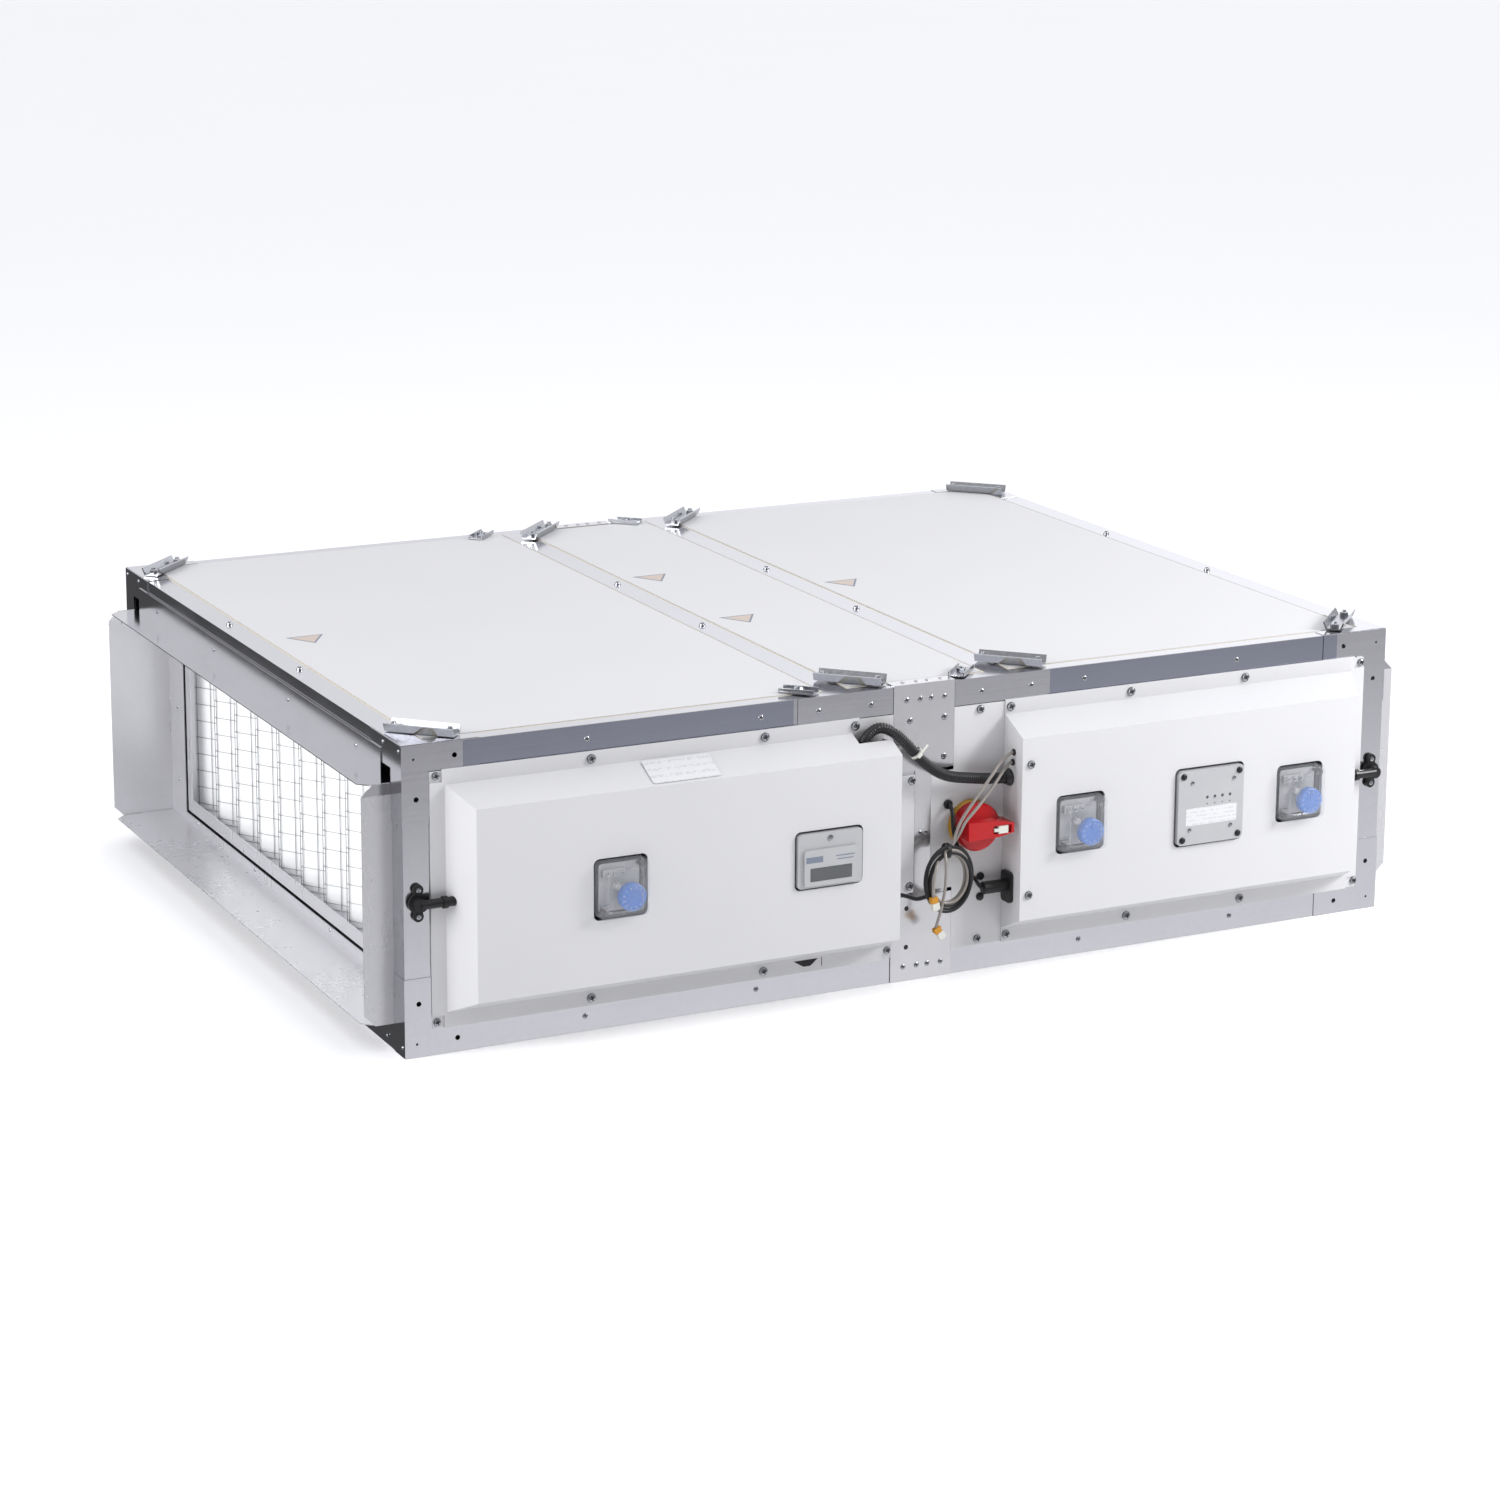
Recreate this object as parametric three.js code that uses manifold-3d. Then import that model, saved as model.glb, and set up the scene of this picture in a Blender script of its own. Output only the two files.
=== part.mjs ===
// Ceiling heat recovery unit: two framed modules bolted end to end, access lids on top,
// control covers in front and a duct collar at each end. Millimetres, +Z up, front at -Y.
import * as THREE from "three";
import { mergeVertices } from "three/addons/utils/BufferGeometryUtils.js";
import Module from "manifold-3d";

const wasm = await Module();
wasm.setup();

// ---------------------------------------------------------------- driving dimensions
const LENGTH = 1450; // frame, end to end
const DEPTH = 1100; // frame, front to back
const HEIGHT = 400; // frame, bottom to top
const GAP = 0.3; // between pieces that touch
const MODULE_GAP = 1; // joint seal between the two modules

const RAIL = 35; // visible face of the frame profile
const FRAME_SHEET = 2;
const LID_REBATE = 20; // front or back face to the lid pocket
const END_STRIP = 32; // end face to the lid pocket
const STRIP_OFFSET = 120; // joint to the middle of a cross strip
const STRIP_WIDTH = 34;
const LEDGE = 14; // seat under a lid's edge
const GUSSET_LEG = 102;
const GUSSET_SHEET = 1;
const GUSSET_HOLE_EDGE = 18;
const GUSSET_HOLE_RUN = 69;
const GUSSET_HOLE_RADIUS = 3.4;
const SPLICE_INNER = 46; // joint to the near end of a splice plate
const SPLICE_LENGTH = 138;

const LID_THICKNESS = 26;
const LID_SHEET = 1.5;
const LID_PROUD = 1;
const GASKET_WIDTH = 4;
const GASKET_DEPTH = 3; // squeezed foam under the lid

const PANEL_SHEET = 1.2;
const PANEL_DEPTH = 22; // folded edge of a wall panel
const JOINT_SHEET = 1.5;
const JOINT_HALF = 45; // half width of the joint plate
const JOINT_NECK = 12;
const JOINT_HEAD = 115; // height of the plate's wide ends
const TAB_CLEARANCE = 5; // wall panel tab to the plate's wide ends

const COVER_DEPTH = 50;
const COVER_SHEET = 1.5;
const COVER_FLANGE = 19;
const COVER_BEVEL = 23;
const COVER_LEFT_END = -58; // straight side of the left cover, from the joint
const COVER_RIGHT_START = 121; // straight side of the right cover, from the joint
const COVER_CORNER_CUT = 15;

const COLLAR_OUT = 40;
const COLLAR_IN = 50;
const COLLAR_SHEET = 1.2;
const COLLAR_DROP = 55; // frame top to the collar's top flange
const COLLAR_CHAMFER = 14;

const FILTER_SIDE = 104; // frame side to the filter's side
const FILTER_FOOT = 17; // lower rail to the filter
const FILTER_HEAD = 6; // filter to the collar's top flange
const FILTER_DEPTH = 48;
const FILTER_LIP = 20;
const PLEAT_PITCH = 90;
const PLEAT_DEPTH = 30;
const MEDIA_SHEET = 3;

const FAN_WALL_INSET = 330; // left end face to the fan wall
const FAN_ROOM = 43; // fan tip to the section's floor and top
const FAN_INLET = 92;
const FAN_WIDTH = 78;
const FAN_BLADES = 7;
const ROTOR_RADIUS = 52;

const CORE_SIDE = 380;
const CORE_BOTTOM = 70;
const TRAY_ROOM = 37.7; // above the core, for the tray
const CORE_X = 385; // core centre, from the joint
const CORE_PLATE = 1.2;
const CORE_GAPS = 14;
const CORE_SEAM = 6;
const WALL_SHEET = 2;
const BLADE_LENGTH = CORE_SIDE - 80; // bypass blade, under one side of the core
const BLADE_HEIGHT = 50;
const DRAIN_RADIUS = 10;
const DRAIN_PROUD = 22;

const DEVICE_Z = HEIGHT / 2; // the devices' row
const SWITCH_X = [-455, 211, 557]; // pressure switches, from the joint
const SWITCH_WINDOW = [74, 80];
const HOOD_PROUD = 16;
const DIAL_RADIUS = 18;
const DIAL_OFFSET = [12, -12];
const DISPLAY_X = -163;
const DISPLAY_WINDOW = [98, 78];
const LAMP_BOX_X = 412;
const LAMP_BOX_WINDOW = [109, 109];
const WINDOW_CLEARANCE = 3;

const ISOLATOR_X = 71;
const ISOLATOR_Z = DEVICE_Z + 4;
const HANDLE_RADIUS = 32.5;

const CLAMP_LENGTH = 92;
const CLAMP_WIDTH = 26;
const CLAMP_LIFT = 9;
const BOLT_SPACING = 75;

const CONDUIT_DIAMETER = 15;
const BLACK_CABLE = 5.5;
const GREY_CABLE = 4.2;

// ---------------------------------------------------------------- worked-out places
const END = LENGTH / 2;
const LID_SEAT = HEIGHT + LID_PROUD - LID_THICKNESS - GASKET_DEPTH;
const SKIN_Y = -GAP - PANEL_SHEET; // outer face of the front wall panels
const TAP_Y = -GUSSET_SHEET - GAP; // the end taps' seat on the corner posts
const TAP_PIPE_Y = TAP_Y - 12;
const TAP_PIPE_RADIUS = 6;
const FLANGE_Y = SKIN_Y - GAP; // back of the covers' flanges
const FACE_Y = -COVER_DEPTH; // front face of the covers
const COLLAR_TOP = HEIGHT - COLLAR_DROP;
const FILTER_WIDTH = DEPTH - 2 * FILTER_SIDE;
const FILTER_BOTTOM = RAIL + FILTER_FOOT;
const FILTER_HEIGHT = COLLAR_TOP - FILTER_HEAD - FILTER_BOTTOM;
const FILTER_X = -END + COLLAR_IN + COLLAR_SHEET + GAP;
const FRONT_MOST = COVER_DEPTH + HOOD_PROUD;
const TAB_HEIGHT = HEIGHT - 2 * (JOINT_HEAD + TAB_CLEARANCE);
const FLOOR_Z = FRAME_SHEET + PANEL_SHEET + 2 * GAP;
const CEILING_Z = LID_SEAT - FRAME_SHEET - GAP;
const FAN_RADIUS = (CEILING_Z - FLOOR_Z) / 2 - FAN_ROOM;
const CORE_TOP = CEILING_Z - TRAY_ROOM;

// ---------------------------------------------------------------- solids
/** A closed geometry as a manifold solid with its faces turned outward. */
function solid(geometry) {
  const bare = geometry.clone();
  bare.deleteAttribute("normal");
  bare.deleteAttribute("uv");
  const merged = mergeVertices(bare, 1e-4);
  const triangles = new Uint32Array(merged.index.array);
  const vertProperties = merged.attributes.position.array;
  const made = new wasm.Manifold(new wasm.Mesh({ numProp: 3, vertProperties, triVerts: triangles }));
  if (made.volume() > 0) return made;
  const turned = triangles.map((_, i) => triangles[i - (i % 3) + (2 - (i % 3))]);
  return new wasm.Manifold(new wasm.Mesh({ numProp: 3, vertProperties, triVerts: turned }));
}

const joined = (...solids) => solids.flat().reduce((sum, next) => sum.add(next));
const cut = (body, ...tools) => tools.flat().reduce((rest, tool) => rest.subtract(tool), body);

/** A box between two corners. */
function box(x0, x1, y0, y1, z0, z1) {
  const size = [Math.abs(x1 - x0), Math.abs(y1 - y0), Math.abs(z1 - z0)];
  const geometry = new THREE.BoxGeometry(...size);
  return solid(geometry.translate((x0 + x1) / 2, (y0 + y1) / 2, (z0 + z1) / 2));
}

// Columns of the basis that carries an outline's (u, v) and its depth onto the part's axes.
const BASES = {
  x: [new THREE.Vector3(0, 1, 0), new THREE.Vector3(0, 0, 1), new THREE.Vector3(1, 0, 0)],
  y: [new THREE.Vector3(1, 0, 0), new THREE.Vector3(0, 0, 1), new THREE.Vector3(0, 1, 0)],
  z: [new THREE.Vector3(1, 0, 0), new THREE.Vector3(0, 1, 0), new THREE.Vector3(0, 0, 1)],
};

/** An outline extruded along an axis: (y, z) for x, (x, z) for y and (x, y) for z. */
function extrude(outline, axis, from, to) {
  const isShape = outline instanceof THREE.Shape;
  const shape = isShape ? outline : new THREE.Shape(outline.map(([u, v]) => new THREE.Vector2(u, v)));
  const options = { depth: to - from, bevelEnabled: false, curveSegments: 4 };
  const geometry = new THREE.ExtrudeGeometry(shape, options).translate(0, 0, from);
  return solid(geometry.applyMatrix4(new THREE.Matrix4().makeBasis(...BASES[axis])));
}

/** The outline of a sheet folded along a polyline, thickened to the left of its run. */
function folded(points, thickness) {
  const normal = ([ax, ay], [bx, by]) => {
    const run = Math.hypot(bx - ax, by - ay);
    return [-(by - ay) / run, (bx - ax) / run];
  };
  const inner = points.map((point, i) => {
    const before = normal(points[Math.max(i - 1, 0)], points[Math.max(i, 1)]);
    const last = points.length - 1;
    const after = normal(points[Math.min(i, last - 1)], points[Math.min(i + 1, last)]);
    const reach = thickness / (1 + before[0] * after[0] + before[1] * after[1]);
    return [point[0] + reach * (before[0] + after[0]), point[1] + reach * (before[1] + after[1])];
  });
  return [...points, ...inner.reverse()];
}

/** A rectangle with round corners, centred on (u, v). */
function roundedRectangle(u, v, width, height, radius) {
  const shape = new THREE.Shape();
  const corners = [[1, -1, -0.5], [1, 1, 0], [-1, 1, 0.5], [-1, -1, 1]];
  for (const [su, sv, turn] of corners) {
    const start = turn * Math.PI;
    const centre = [u + su * (width / 2 - radius), v + sv * (height / 2 - radius)];
    shape.absarc(...centre, radius, start, start + Math.PI / 2, false);
  }
  return shape;
}

// Turns that lay a geometry made along +Y onto each axis.
const TURNS = { x: [0, 0, -Math.PI / 2], y: [0, 0, 0], z: [Math.PI / 2, 0, 0] };

function along(geometry, axis, [x, y, z]) {
  geometry.applyMatrix4(new THREE.Matrix4().makeRotationFromEuler(new THREE.Euler(...TURNS[axis])));
  return solid(geometry.translate(x, y, z));
}

/** A cylinder or cone along an axis; its centre is the middle of its length. */
function cylinder(axis, centre, radius, length, sides = 24, startRadius = radius) {
  return along(new THREE.CylinderGeometry(radius, startRadius, length, sides), axis, centre);
}

/** A turned body from (radius, distance along the axis) points. */
function turned(axis, centre, profile, sides = 24) {
  const points = profile.map(([radius, run]) => new THREE.Vector2(radius, run));
  return along(new THREE.LatheGeometry(points, sides), axis, centre);
}

/** A round tube along a smooth line through the points. */
function tube(points, diameter, steps, sides = 8) {
  const ring = Array.from({ length: sides }, (_, i) => {
    const angle = (2 * Math.PI * i) / sides;
    return new THREE.Vector2((diameter / 2) * Math.cos(angle), (diameter / 2) * Math.sin(angle));
  });
  const extrudePath = new THREE.CatmullRomCurve3(points.map((p) => new THREE.Vector3(...p)));
  return solid(new THREE.ExtrudeGeometry(new THREE.Shape(ring), { steps, extrudePath, bevelEnabled: false }));
}

/** A box whose front rectangle differs from its back one: [x0, x1, z0, z1] each. */
function tapered(back, front, backY, frontY) {
  const geometry = new THREE.BoxGeometry(1, 1, 1);
  const position = geometry.attributes.position;
  for (let i = 0; i < position.count; i++) {
    const atFront = position.getY(i) < 0;
    const [x0, x1, z0, z1] = atFront ? front : back;
    const [x, z] = [position.getX(i) < 0 ? x0 : x1, position.getZ(i) < 0 ? z0 : z1];
    position.setXYZ(i, x, atFront ? frontY : backY, z);
  }
  return solid(geometry);
}

// ---------------------------------------------------------------- finishes
const finish = (color, roughness, metalness) =>
  new THREE.MeshStandardMaterial({ color, roughness, metalness });
const GALVANISED = finish(0xb9bcc1, 0.32, 0.95);
const BRIGHT_STEEL = finish(0xc9ccd0, 0.25, 1);
const WHITE_PAINT = finish(0xe9e9ea, 0.55, 0);
const FOAM = finish(0xe6dcc4, 0.9, 0);
const MEDIA = finish(0xf2f3f4, 0.95, 0);
const BLACK_PLASTIC = finish(0x1b1b1d, 0.5, 0);
const GREY_PLASTIC = finish(0xb7babd, 0.45, 0);
const CLEAR_PLASTIC = finish(0xdfe5ea, 0.1, 0);
CLEAR_PLASTIC.transparent = true;
CLEAR_PLASTIC.opacity = 0.5;
const BLUE_PLASTIC = finish(0x4a86e0, 0.4, 0);
const RED_PLASTIC = finish(0xc40d1e, 0.35, 0);
const YELLOW_PLASTIC = finish(0xd9a312, 0.4, 0);
const WHITE_PLASTIC = finish(0xefefea, 0.45, 0);
const CORE_PLASTIC = finish(0x9fb6c4, 0.5, 0);
const GREY_SHEATH = finish(0x8d8983, 0.5, 0);
const DARK_METAL = finish(0x55585c, 0.4, 0.8);

const unit = new THREE.Group();
// The unit's footprint is centred on the origin, with the covers in front and the drain behind.
unit.position.y = (FRONT_MOST - DEPTH - DRAIN_PROUD) / 2;

/** Adds one named mesh made from a manifold solid. */
function part(name, body, material, parent = unit) {
  const made = body.getMesh();
  const geometry = new THREE.BufferGeometry();
  geometry.setAttribute("position", new THREE.BufferAttribute(made.vertProperties, 3));
  geometry.setIndex(new THREE.BufferAttribute(made.triVerts, 1));
  geometry.computeVertexNormals();
  const mesh = new THREE.Mesh(geometry, material);
  mesh.name = name;
  parent.add(mesh);
  return mesh;
}

// ---------------------------------------------------------------- frame
/** The upper rail's fold, with its lid seat a strip's width in, and the lower rail's fold. */
function railRuns(strip) {
  const seat = [[strip + LEDGE, LID_SEAT], [strip, LID_SEAT], [strip, HEIGHT]];
  return [
    [...seat, [0, HEIGHT], [0, HEIGHT - RAIL]],
    [[0, RAIL], [0, 0], [RAIL, 0]],
  ];
}

/** The front or back lengthwise rails of a module; back ones mirror the front. */
function lengthRails(x0, x1) {
  return railRuns(LID_REBATE).flatMap((run) => {
    const outline = folded(run, FRAME_SHEET);
    const mirrored = outline.map(([y, z]) => [DEPTH - y, z]);
    return [extrude(outline, "x", x0, x1), extrude(mirrored, "x", x0, x1)];
  });
}

/** The crosswise rails at a module's outer end; side is -1 at the left, 1 at the right. */
function endRails(side) {
  return railRuns(END_STRIP).map((run) => {
    const outline = folded(run, FRAME_SHEET).map(([x, z]) => [side * (END - x), z]);
    return extrude(outline, "y", 0, DEPTH);
  });
}

/** The hat-shaped strip between two lids. */
function crossStrip(x) {
  const half = STRIP_WIDTH / 2;
  const right = [[half + LEDGE, LID_SEAT], [half, LID_SEAT], [half, HEIGHT]];
  const run = [...right, ...right.map(([u, z]) => [-u, z]).reverse()];
  const outline = folded(run, FRAME_SHEET).map(([u, z]) => [x + u, z]);
  return extrude(outline, "y", FRAME_SHEET, DEPTH - FRAME_SHEET);
}

/** The four corner posts of a module between x0 and x1. */
function posts(x0, x1) {
  const outline = folded([[0, RAIL], [0, 0], [RAIL, 0]], FRAME_SHEET);
  const corners = [[x0, 1, 0, 1], [x1, -1, 0, 1], [x0, 1, DEPTH, -1], [x1, -1, DEPTH, -1]];
  return corners.map(([x, sx, y, sy]) => {
    const placed = outline.map(([u, v]) => [x + sx * u, y + sy * v]);
    const outer = Math.abs(x) === END;
    return extrude(placed, "z", 0, outer ? HEIGHT - FRAME_SHEET : LID_SEAT - FRAME_SHEET / 2);
  });
}

/** Corner plates, riveted over the profile: one leg along each of the three edges. */
function cornerGussets(side) {
  const sheets = [];
  for (const back of [false, true]) {
    const y = (v) => (back ? DEPTH - v : v);
    const x = (u) => side * (END - u);
    for (const top of [false, true]) {
      const z = (w) => (top ? HEIGHT - w : w);
      sheets.push(box(x(0), x(GUSSET_LEG), y(-GUSSET_SHEET), y(0.1), z(0), z(RAIL)));
      sheets.push(box(x(0), x(RAIL), y(-GUSSET_SHEET), y(0.1), z(0), z(GUSSET_LEG)));
      sheets.push(box(x(-GUSSET_SHEET), x(0.1), y(-GUSSET_SHEET), y(RAIL), z(0), z(GUSSET_LEG)));
    }
    sheets.push(box(x(-GUSSET_SHEET), x(0.1), y(-GUSSET_SHEET), y(GUSSET_LEG), HEIGHT, HEIGHT - RAIL));
    sheets.push(box(x(0), x(GUSSET_LEG), y(0), y(LID_REBATE), HEIGHT - 0.1, HEIGHT + GUSSET_SHEET));
    sheets.push(box(x(0), x(END_STRIP), y(0), y(GUSSET_LEG), HEIGHT - 0.1, HEIGHT + GUSSET_SHEET));
  }
  return sheets;
}

/** Splice plates over the front and back top rails, beside the joint. */
function splices(side) {
  const near = side * SPLICE_INNER;
  const far = side * (SPLICE_INNER + SPLICE_LENGTH);
  return [
    box(near, far, -GUSSET_SHEET, 0.1, HEIGHT - RAIL, HEIGHT),
    box(near, far, DEPTH - 0.1, DEPTH + GUSSET_SHEET, HEIGHT - RAIL, HEIGHT),
  ];
}

/** Drilled holes through the corner plates and the profile behind them. */
function gussetHoles(side) {
  const holes = [];
  for (const y of [0, DEPTH]) {
    for (const z of [GUSSET_HOLE_EDGE, HEIGHT - GUSSET_HOLE_EDGE]) {
      holes.push(cylinder("y", [side * (END - GUSSET_HOLE_RUN), y, z], GUSSET_HOLE_RADIUS, 8, 10));
    }
    for (const z of [GUSSET_HOLE_RUN, HEIGHT - GUSSET_HOLE_RUN]) {
      holes.push(cylinder("y", [side * (END - GUSSET_HOLE_EDGE), y, z], GUSSET_HOLE_RADIUS, 8, 10));
    }
  }
  return holes;
}

function frameModule(side) {
  const inner = (side * MODULE_GAP) / 2;
  const [x0, x1] = side < 0 ? [-END, inner] : [inner, END];
  const profile = [lengthRails(x0, x1), endRails(side), crossStrip(side * STRIP_OFFSET), posts(x0, x1)];
  const frame = joined(profile.flat(), cornerGussets(side), splices(side));
  part(side < 0 ? "left_frame" : "right_frame", cut(frame, gussetHoles(side)), GALVANISED);
}

/** The I-shaped plate that ties the modules at the front or the back. */
function jointPlate(name, back) {
  const y = (v) => (back ? DEPTH - v : v);
  const outline = [];
  for (const [su, top] of [[1, false], [1, true], [-1, true], [-1, false]]) {
    const end = top ? HEIGHT + GAP : 0;
    const shoulder = top ? HEIGHT - JOINT_HEAD : JOINT_HEAD;
    const wide = [[su * JOINT_HALF, end], [su * JOINT_HALF, shoulder]];
    const narrow = [[su * JOINT_NECK, shoulder]];
    const corner = [...wide, ...narrow];
    outline.push(...(su > 0 === top ? corner.reverse() : corner));
  }
  const face = extrude(outline, "y", Math.min(y(-GAP), y(SKIN_Y)), Math.max(y(-GAP), y(SKIN_Y)));
  const flangeZ = [HEIGHT + GAP, HEIGHT + GAP + JOINT_SHEET];
  const flange = box(-JOINT_HALF, JOINT_HALF, y(SKIN_Y), y(LID_REBATE), ...flangeZ);
  const holes = [46, 99].map((z) => cylinder("y", [-22, y(SKIN_Y / 2), z], GUSSET_HOLE_RADIUS, 6, 10));
  part(name, cut(joined(face, flange), holes), GALVANISED);
}

// ---------------------------------------------------------------- lids, gaskets and wall panels
/** A shallow tray turned over: a skin with folded edges, open underneath. */
function tray(x0, x1, y0, y1, skinZ, depth, sheet) {
  const outer = box(x0, x1, y0, y1, skinZ - depth, skinZ);
  const hollowZ = [skinZ - depth - 1, skinZ - sheet];
  const hollow = box(x0 + sheet, x1 - sheet, y0 + sheet, y1 - sheet, ...hollowZ);
  return cut(outer, hollow);
}

function lid(name, pocketX0, pocketX1) {
  const y0 = LID_REBATE + GASKET_WIDTH;
  const x0 = pocketX0 + GASKET_WIDTH;
  const x1 = pocketX1 - GASKET_WIDTH;
  const shell = tray(x0, x1, y0, DEPTH - y0, HEIGHT + LID_PROUD, LID_THICKNESS, LID_SHEET);
  part(`${name}_lid`, shell, WHITE_PAINT);
  gasket(`${name}_gasket`, pocketX0 + GAP, pocketX1 - GAP);
}

/** Foam seal: a squeezed bed on the ledge with an edge that stands in the lid's gap. */
function gasket(name, x0, x1) {
  const y0 = LID_REBATE + GAP;
  const bottom = LID_SEAT + GAP;
  const bedTop = LID_SEAT + GASKET_DEPTH - GAP;
  const rim = GASKET_WIDTH - 2 * GAP;
  const ring = (inset, z1) => {
    const hole = box(x0 + inset, x1 - inset, y0 + inset, DEPTH - y0 - inset, bottom - 1, z1 + 1);
    return cut(box(x0, x1, y0, DEPTH - y0, bottom, z1), hole);
  };
  part(name, joined(ring(LEDGE - GAP, bedTop), ring(rim, HEIGHT - GAP)), FOAM);
}

/** Front or back wall panel with a tab that reaches in between the joint plate's heads. */
function wallPanel(name, side, back, holes = []) {
  const y0 = back ? DEPTH + GAP : SKIN_Y;
  const y1 = y0 + PANEL_SHEET;
  const outer = side * (END - RAIL - GAP);
  const inner = side * (JOINT_HALF + GAP);
  const tab = side * (JOINT_NECK + GAP);
  const tabLow = (HEIGHT - TAB_HEIGHT) / 2;
  const skin = joined(
    box(outer, inner, y0, y1, RAIL, HEIGHT - RAIL - GUSSET_SHEET),
    box(inner, tab, y0, y1, tabLow, tabLow + TAB_HEIGHT),
  );
  part(name, cut(skin, holes), WHITE_PAINT);
}

function bottomPanel(name, side) {
  const outer = side * (END - FRAME_SHEET - GAP);
  const inner = side * (MODULE_GAP / 2 + FRAME_SHEET + GAP);
  const low = FRAME_SHEET + GAP;
  const edge = RAIL + GAP;
  const x0 = Math.min(outer, inner);
  const x1 = Math.max(outer, inner);
  const slab = box(x0, x1, edge, DEPTH - edge, low, low + PANEL_SHEET);
  const lipY = [[edge, edge + PANEL_SHEET], [DEPTH - edge - PANEL_SHEET, DEPTH - edge]];
  const lips = lipY.map(([y0, y1]) => box(x0, x1, y0, y1, low, low + PANEL_DEPTH));
  part(name, joined(slab, lips), WHITE_PAINT);
}

// ---------------------------------------------------------------- control covers
/** Outline and windows of a folded cover; bevelSide is the side whose edge slopes. */
function cover(name, baseX0, baseX1, bevelSide, windows, cuts) {
  const low = RAIL - 1;
  const high = HEIGHT - low;
  const side = (inset) => [bevelSide < 0 ? baseX0 + inset : baseX0, bevelSide > 0 ? baseX1 - inset : baseX1];
  const rectangle = (inset, shrink) => {
    const [x0, x1] = side(inset);
    return [x0 + shrink, x1 - shrink, low + inset + shrink, high - inset - shrink];
  };
  const back = rectangle(COVER_FLANGE, 0);
  const front = rectangle(COVER_FLANGE + COVER_BEVEL, 0);
  const shell = tapered(back, front, FLANGE_Y, FACE_Y);
  const flange = box(baseX0, baseX1, FLANGE_Y - COVER_SHEET, FLANGE_Y, low, high);
  const shrunk = [COVER_FLANGE, COVER_FLANGE + COVER_BEVEL].map((inset) => rectangle(inset, COVER_SHEET));
  const hollow = tapered(...shrunk, FLANGE_Y + 1, FACE_Y + COVER_SHEET);
  const openings = windows.map(([x, [width, height]]) =>
    extrude(roundedRectangle(x, DEVICE_Z, width, height, 8), "y", FACE_Y - 1, FACE_Y + COVER_SHEET + 1));
  const cornerX = bevelSide < 0 ? baseX0 : baseX1 - COVER_CORNER_CUT;
  const cornerX1 = cornerX + COVER_CORNER_CUT + 1;
  const corners = [low, high - COVER_CORNER_CUT].map((z) =>
    box(cornerX - 1, cornerX1, FLANGE_Y - 9, FLANGE_Y + 1, z - 1, z + COVER_CORNER_CUT + 1));
  part(name, cut(joined(shell, flange), hollow, openings, corners, cuts), WHITE_PAINT);
}

/** Where the conduit leaves the left cover: a bite out of the top flange at its straight end. */
function conduitNotch() {
  const x = COVER_LEFT_END;
  const z = HEIGHT - RAIL;
  const bite = [
    [x + 2, z - 31], [x - 48, z - 31], [x - 48, z - 16], [x - 38, z - 2], [x - 38, z + 5], [x + 2, z + 5],
  ];
  return extrude(bite, "y", -22, 1);
}

/** Holes through a cover's straight side for the cables that pass it. */
function sideHoles(x, holes) {
  return holes.map(([y, z, radius]) => cylinder("x", [x, y, z], radius, 24, 16));
}

// ---------------------------------------------------------------- duct collars and filter
/** The sleeve in an end frame: four flanges on an inner wall with the duct opening. */
function collar(name, side) {
  const x = (u) => side * (END + u);
  const edge = RAIL + GAP;
  const outline = (v0, v1) => [
    [x(-COLLAR_IN), v0], [x(COLLAR_OUT - COLLAR_CHAMFER), v0], [x(COLLAR_OUT), v0 + COLLAR_CHAMFER],
    [x(COLLAR_OUT), v1 - COLLAR_CHAMFER], [x(COLLAR_OUT - COLLAR_CHAMFER), v1], [x(-COLLAR_IN), v1],
  ];
  const flat = outline(edge + 2, DEPTH - edge - 2);
  const floor = extrude(flat, "z", edge, edge + COLLAR_SHEET);
  const roof = extrude(flat, "z", COLLAR_TOP - COLLAR_SHEET, COLLAR_TOP);
  const upright = outline(edge, COLLAR_TOP);
  const cheeks = [edge, DEPTH - edge - COLLAR_SHEET].map((y) => extrude(upright, "y", y, y + COLLAR_SHEET));
  const sleeve = cut(joined(floor, roof), cornerSlots(x));
  const outer = box(x(-COLLAR_IN - COLLAR_SHEET), x(-COLLAR_IN), edge, DEPTH - edge, edge, COLLAR_TOP);
  const margin = (DEPTH - FILTER_WIDTH) / 2 - 6;
  const openingX = [x(-COLLAR_IN - 3), x(-COLLAR_IN + 3)];
  const opening = box(...openingX, margin, DEPTH - margin, FILTER_BOTTOM - 4, COLLAR_TOP - 4);
  const apronX = [x(GUSSET_SHEET + GAP), x(GUSSET_SHEET + GAP + COLLAR_SHEET)];
  const apron = box(...apronX, edge + 30, DEPTH - edge - 30, COLLAR_TOP - COLLAR_SHEET, COLLAR_TOP + 38);
  part(name, joined(sleeve, cheeks, cut(outer, opening), apron), GALVANISED);
}

/** Slots that keep the flanges apart outside the frame, where they are not folded together. */
function cornerSlots(x) {
  const edge = RAIL + GAP;
  return [edge, DEPTH - edge - 2 * COLLAR_SHEET].map((y) =>
    box(x(0), x(COLLAR_OUT + 1), y - 2, y + 2 * COLLAR_SHEET + 2, edge - 1, COLLAR_TOP + 1));
}

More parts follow.
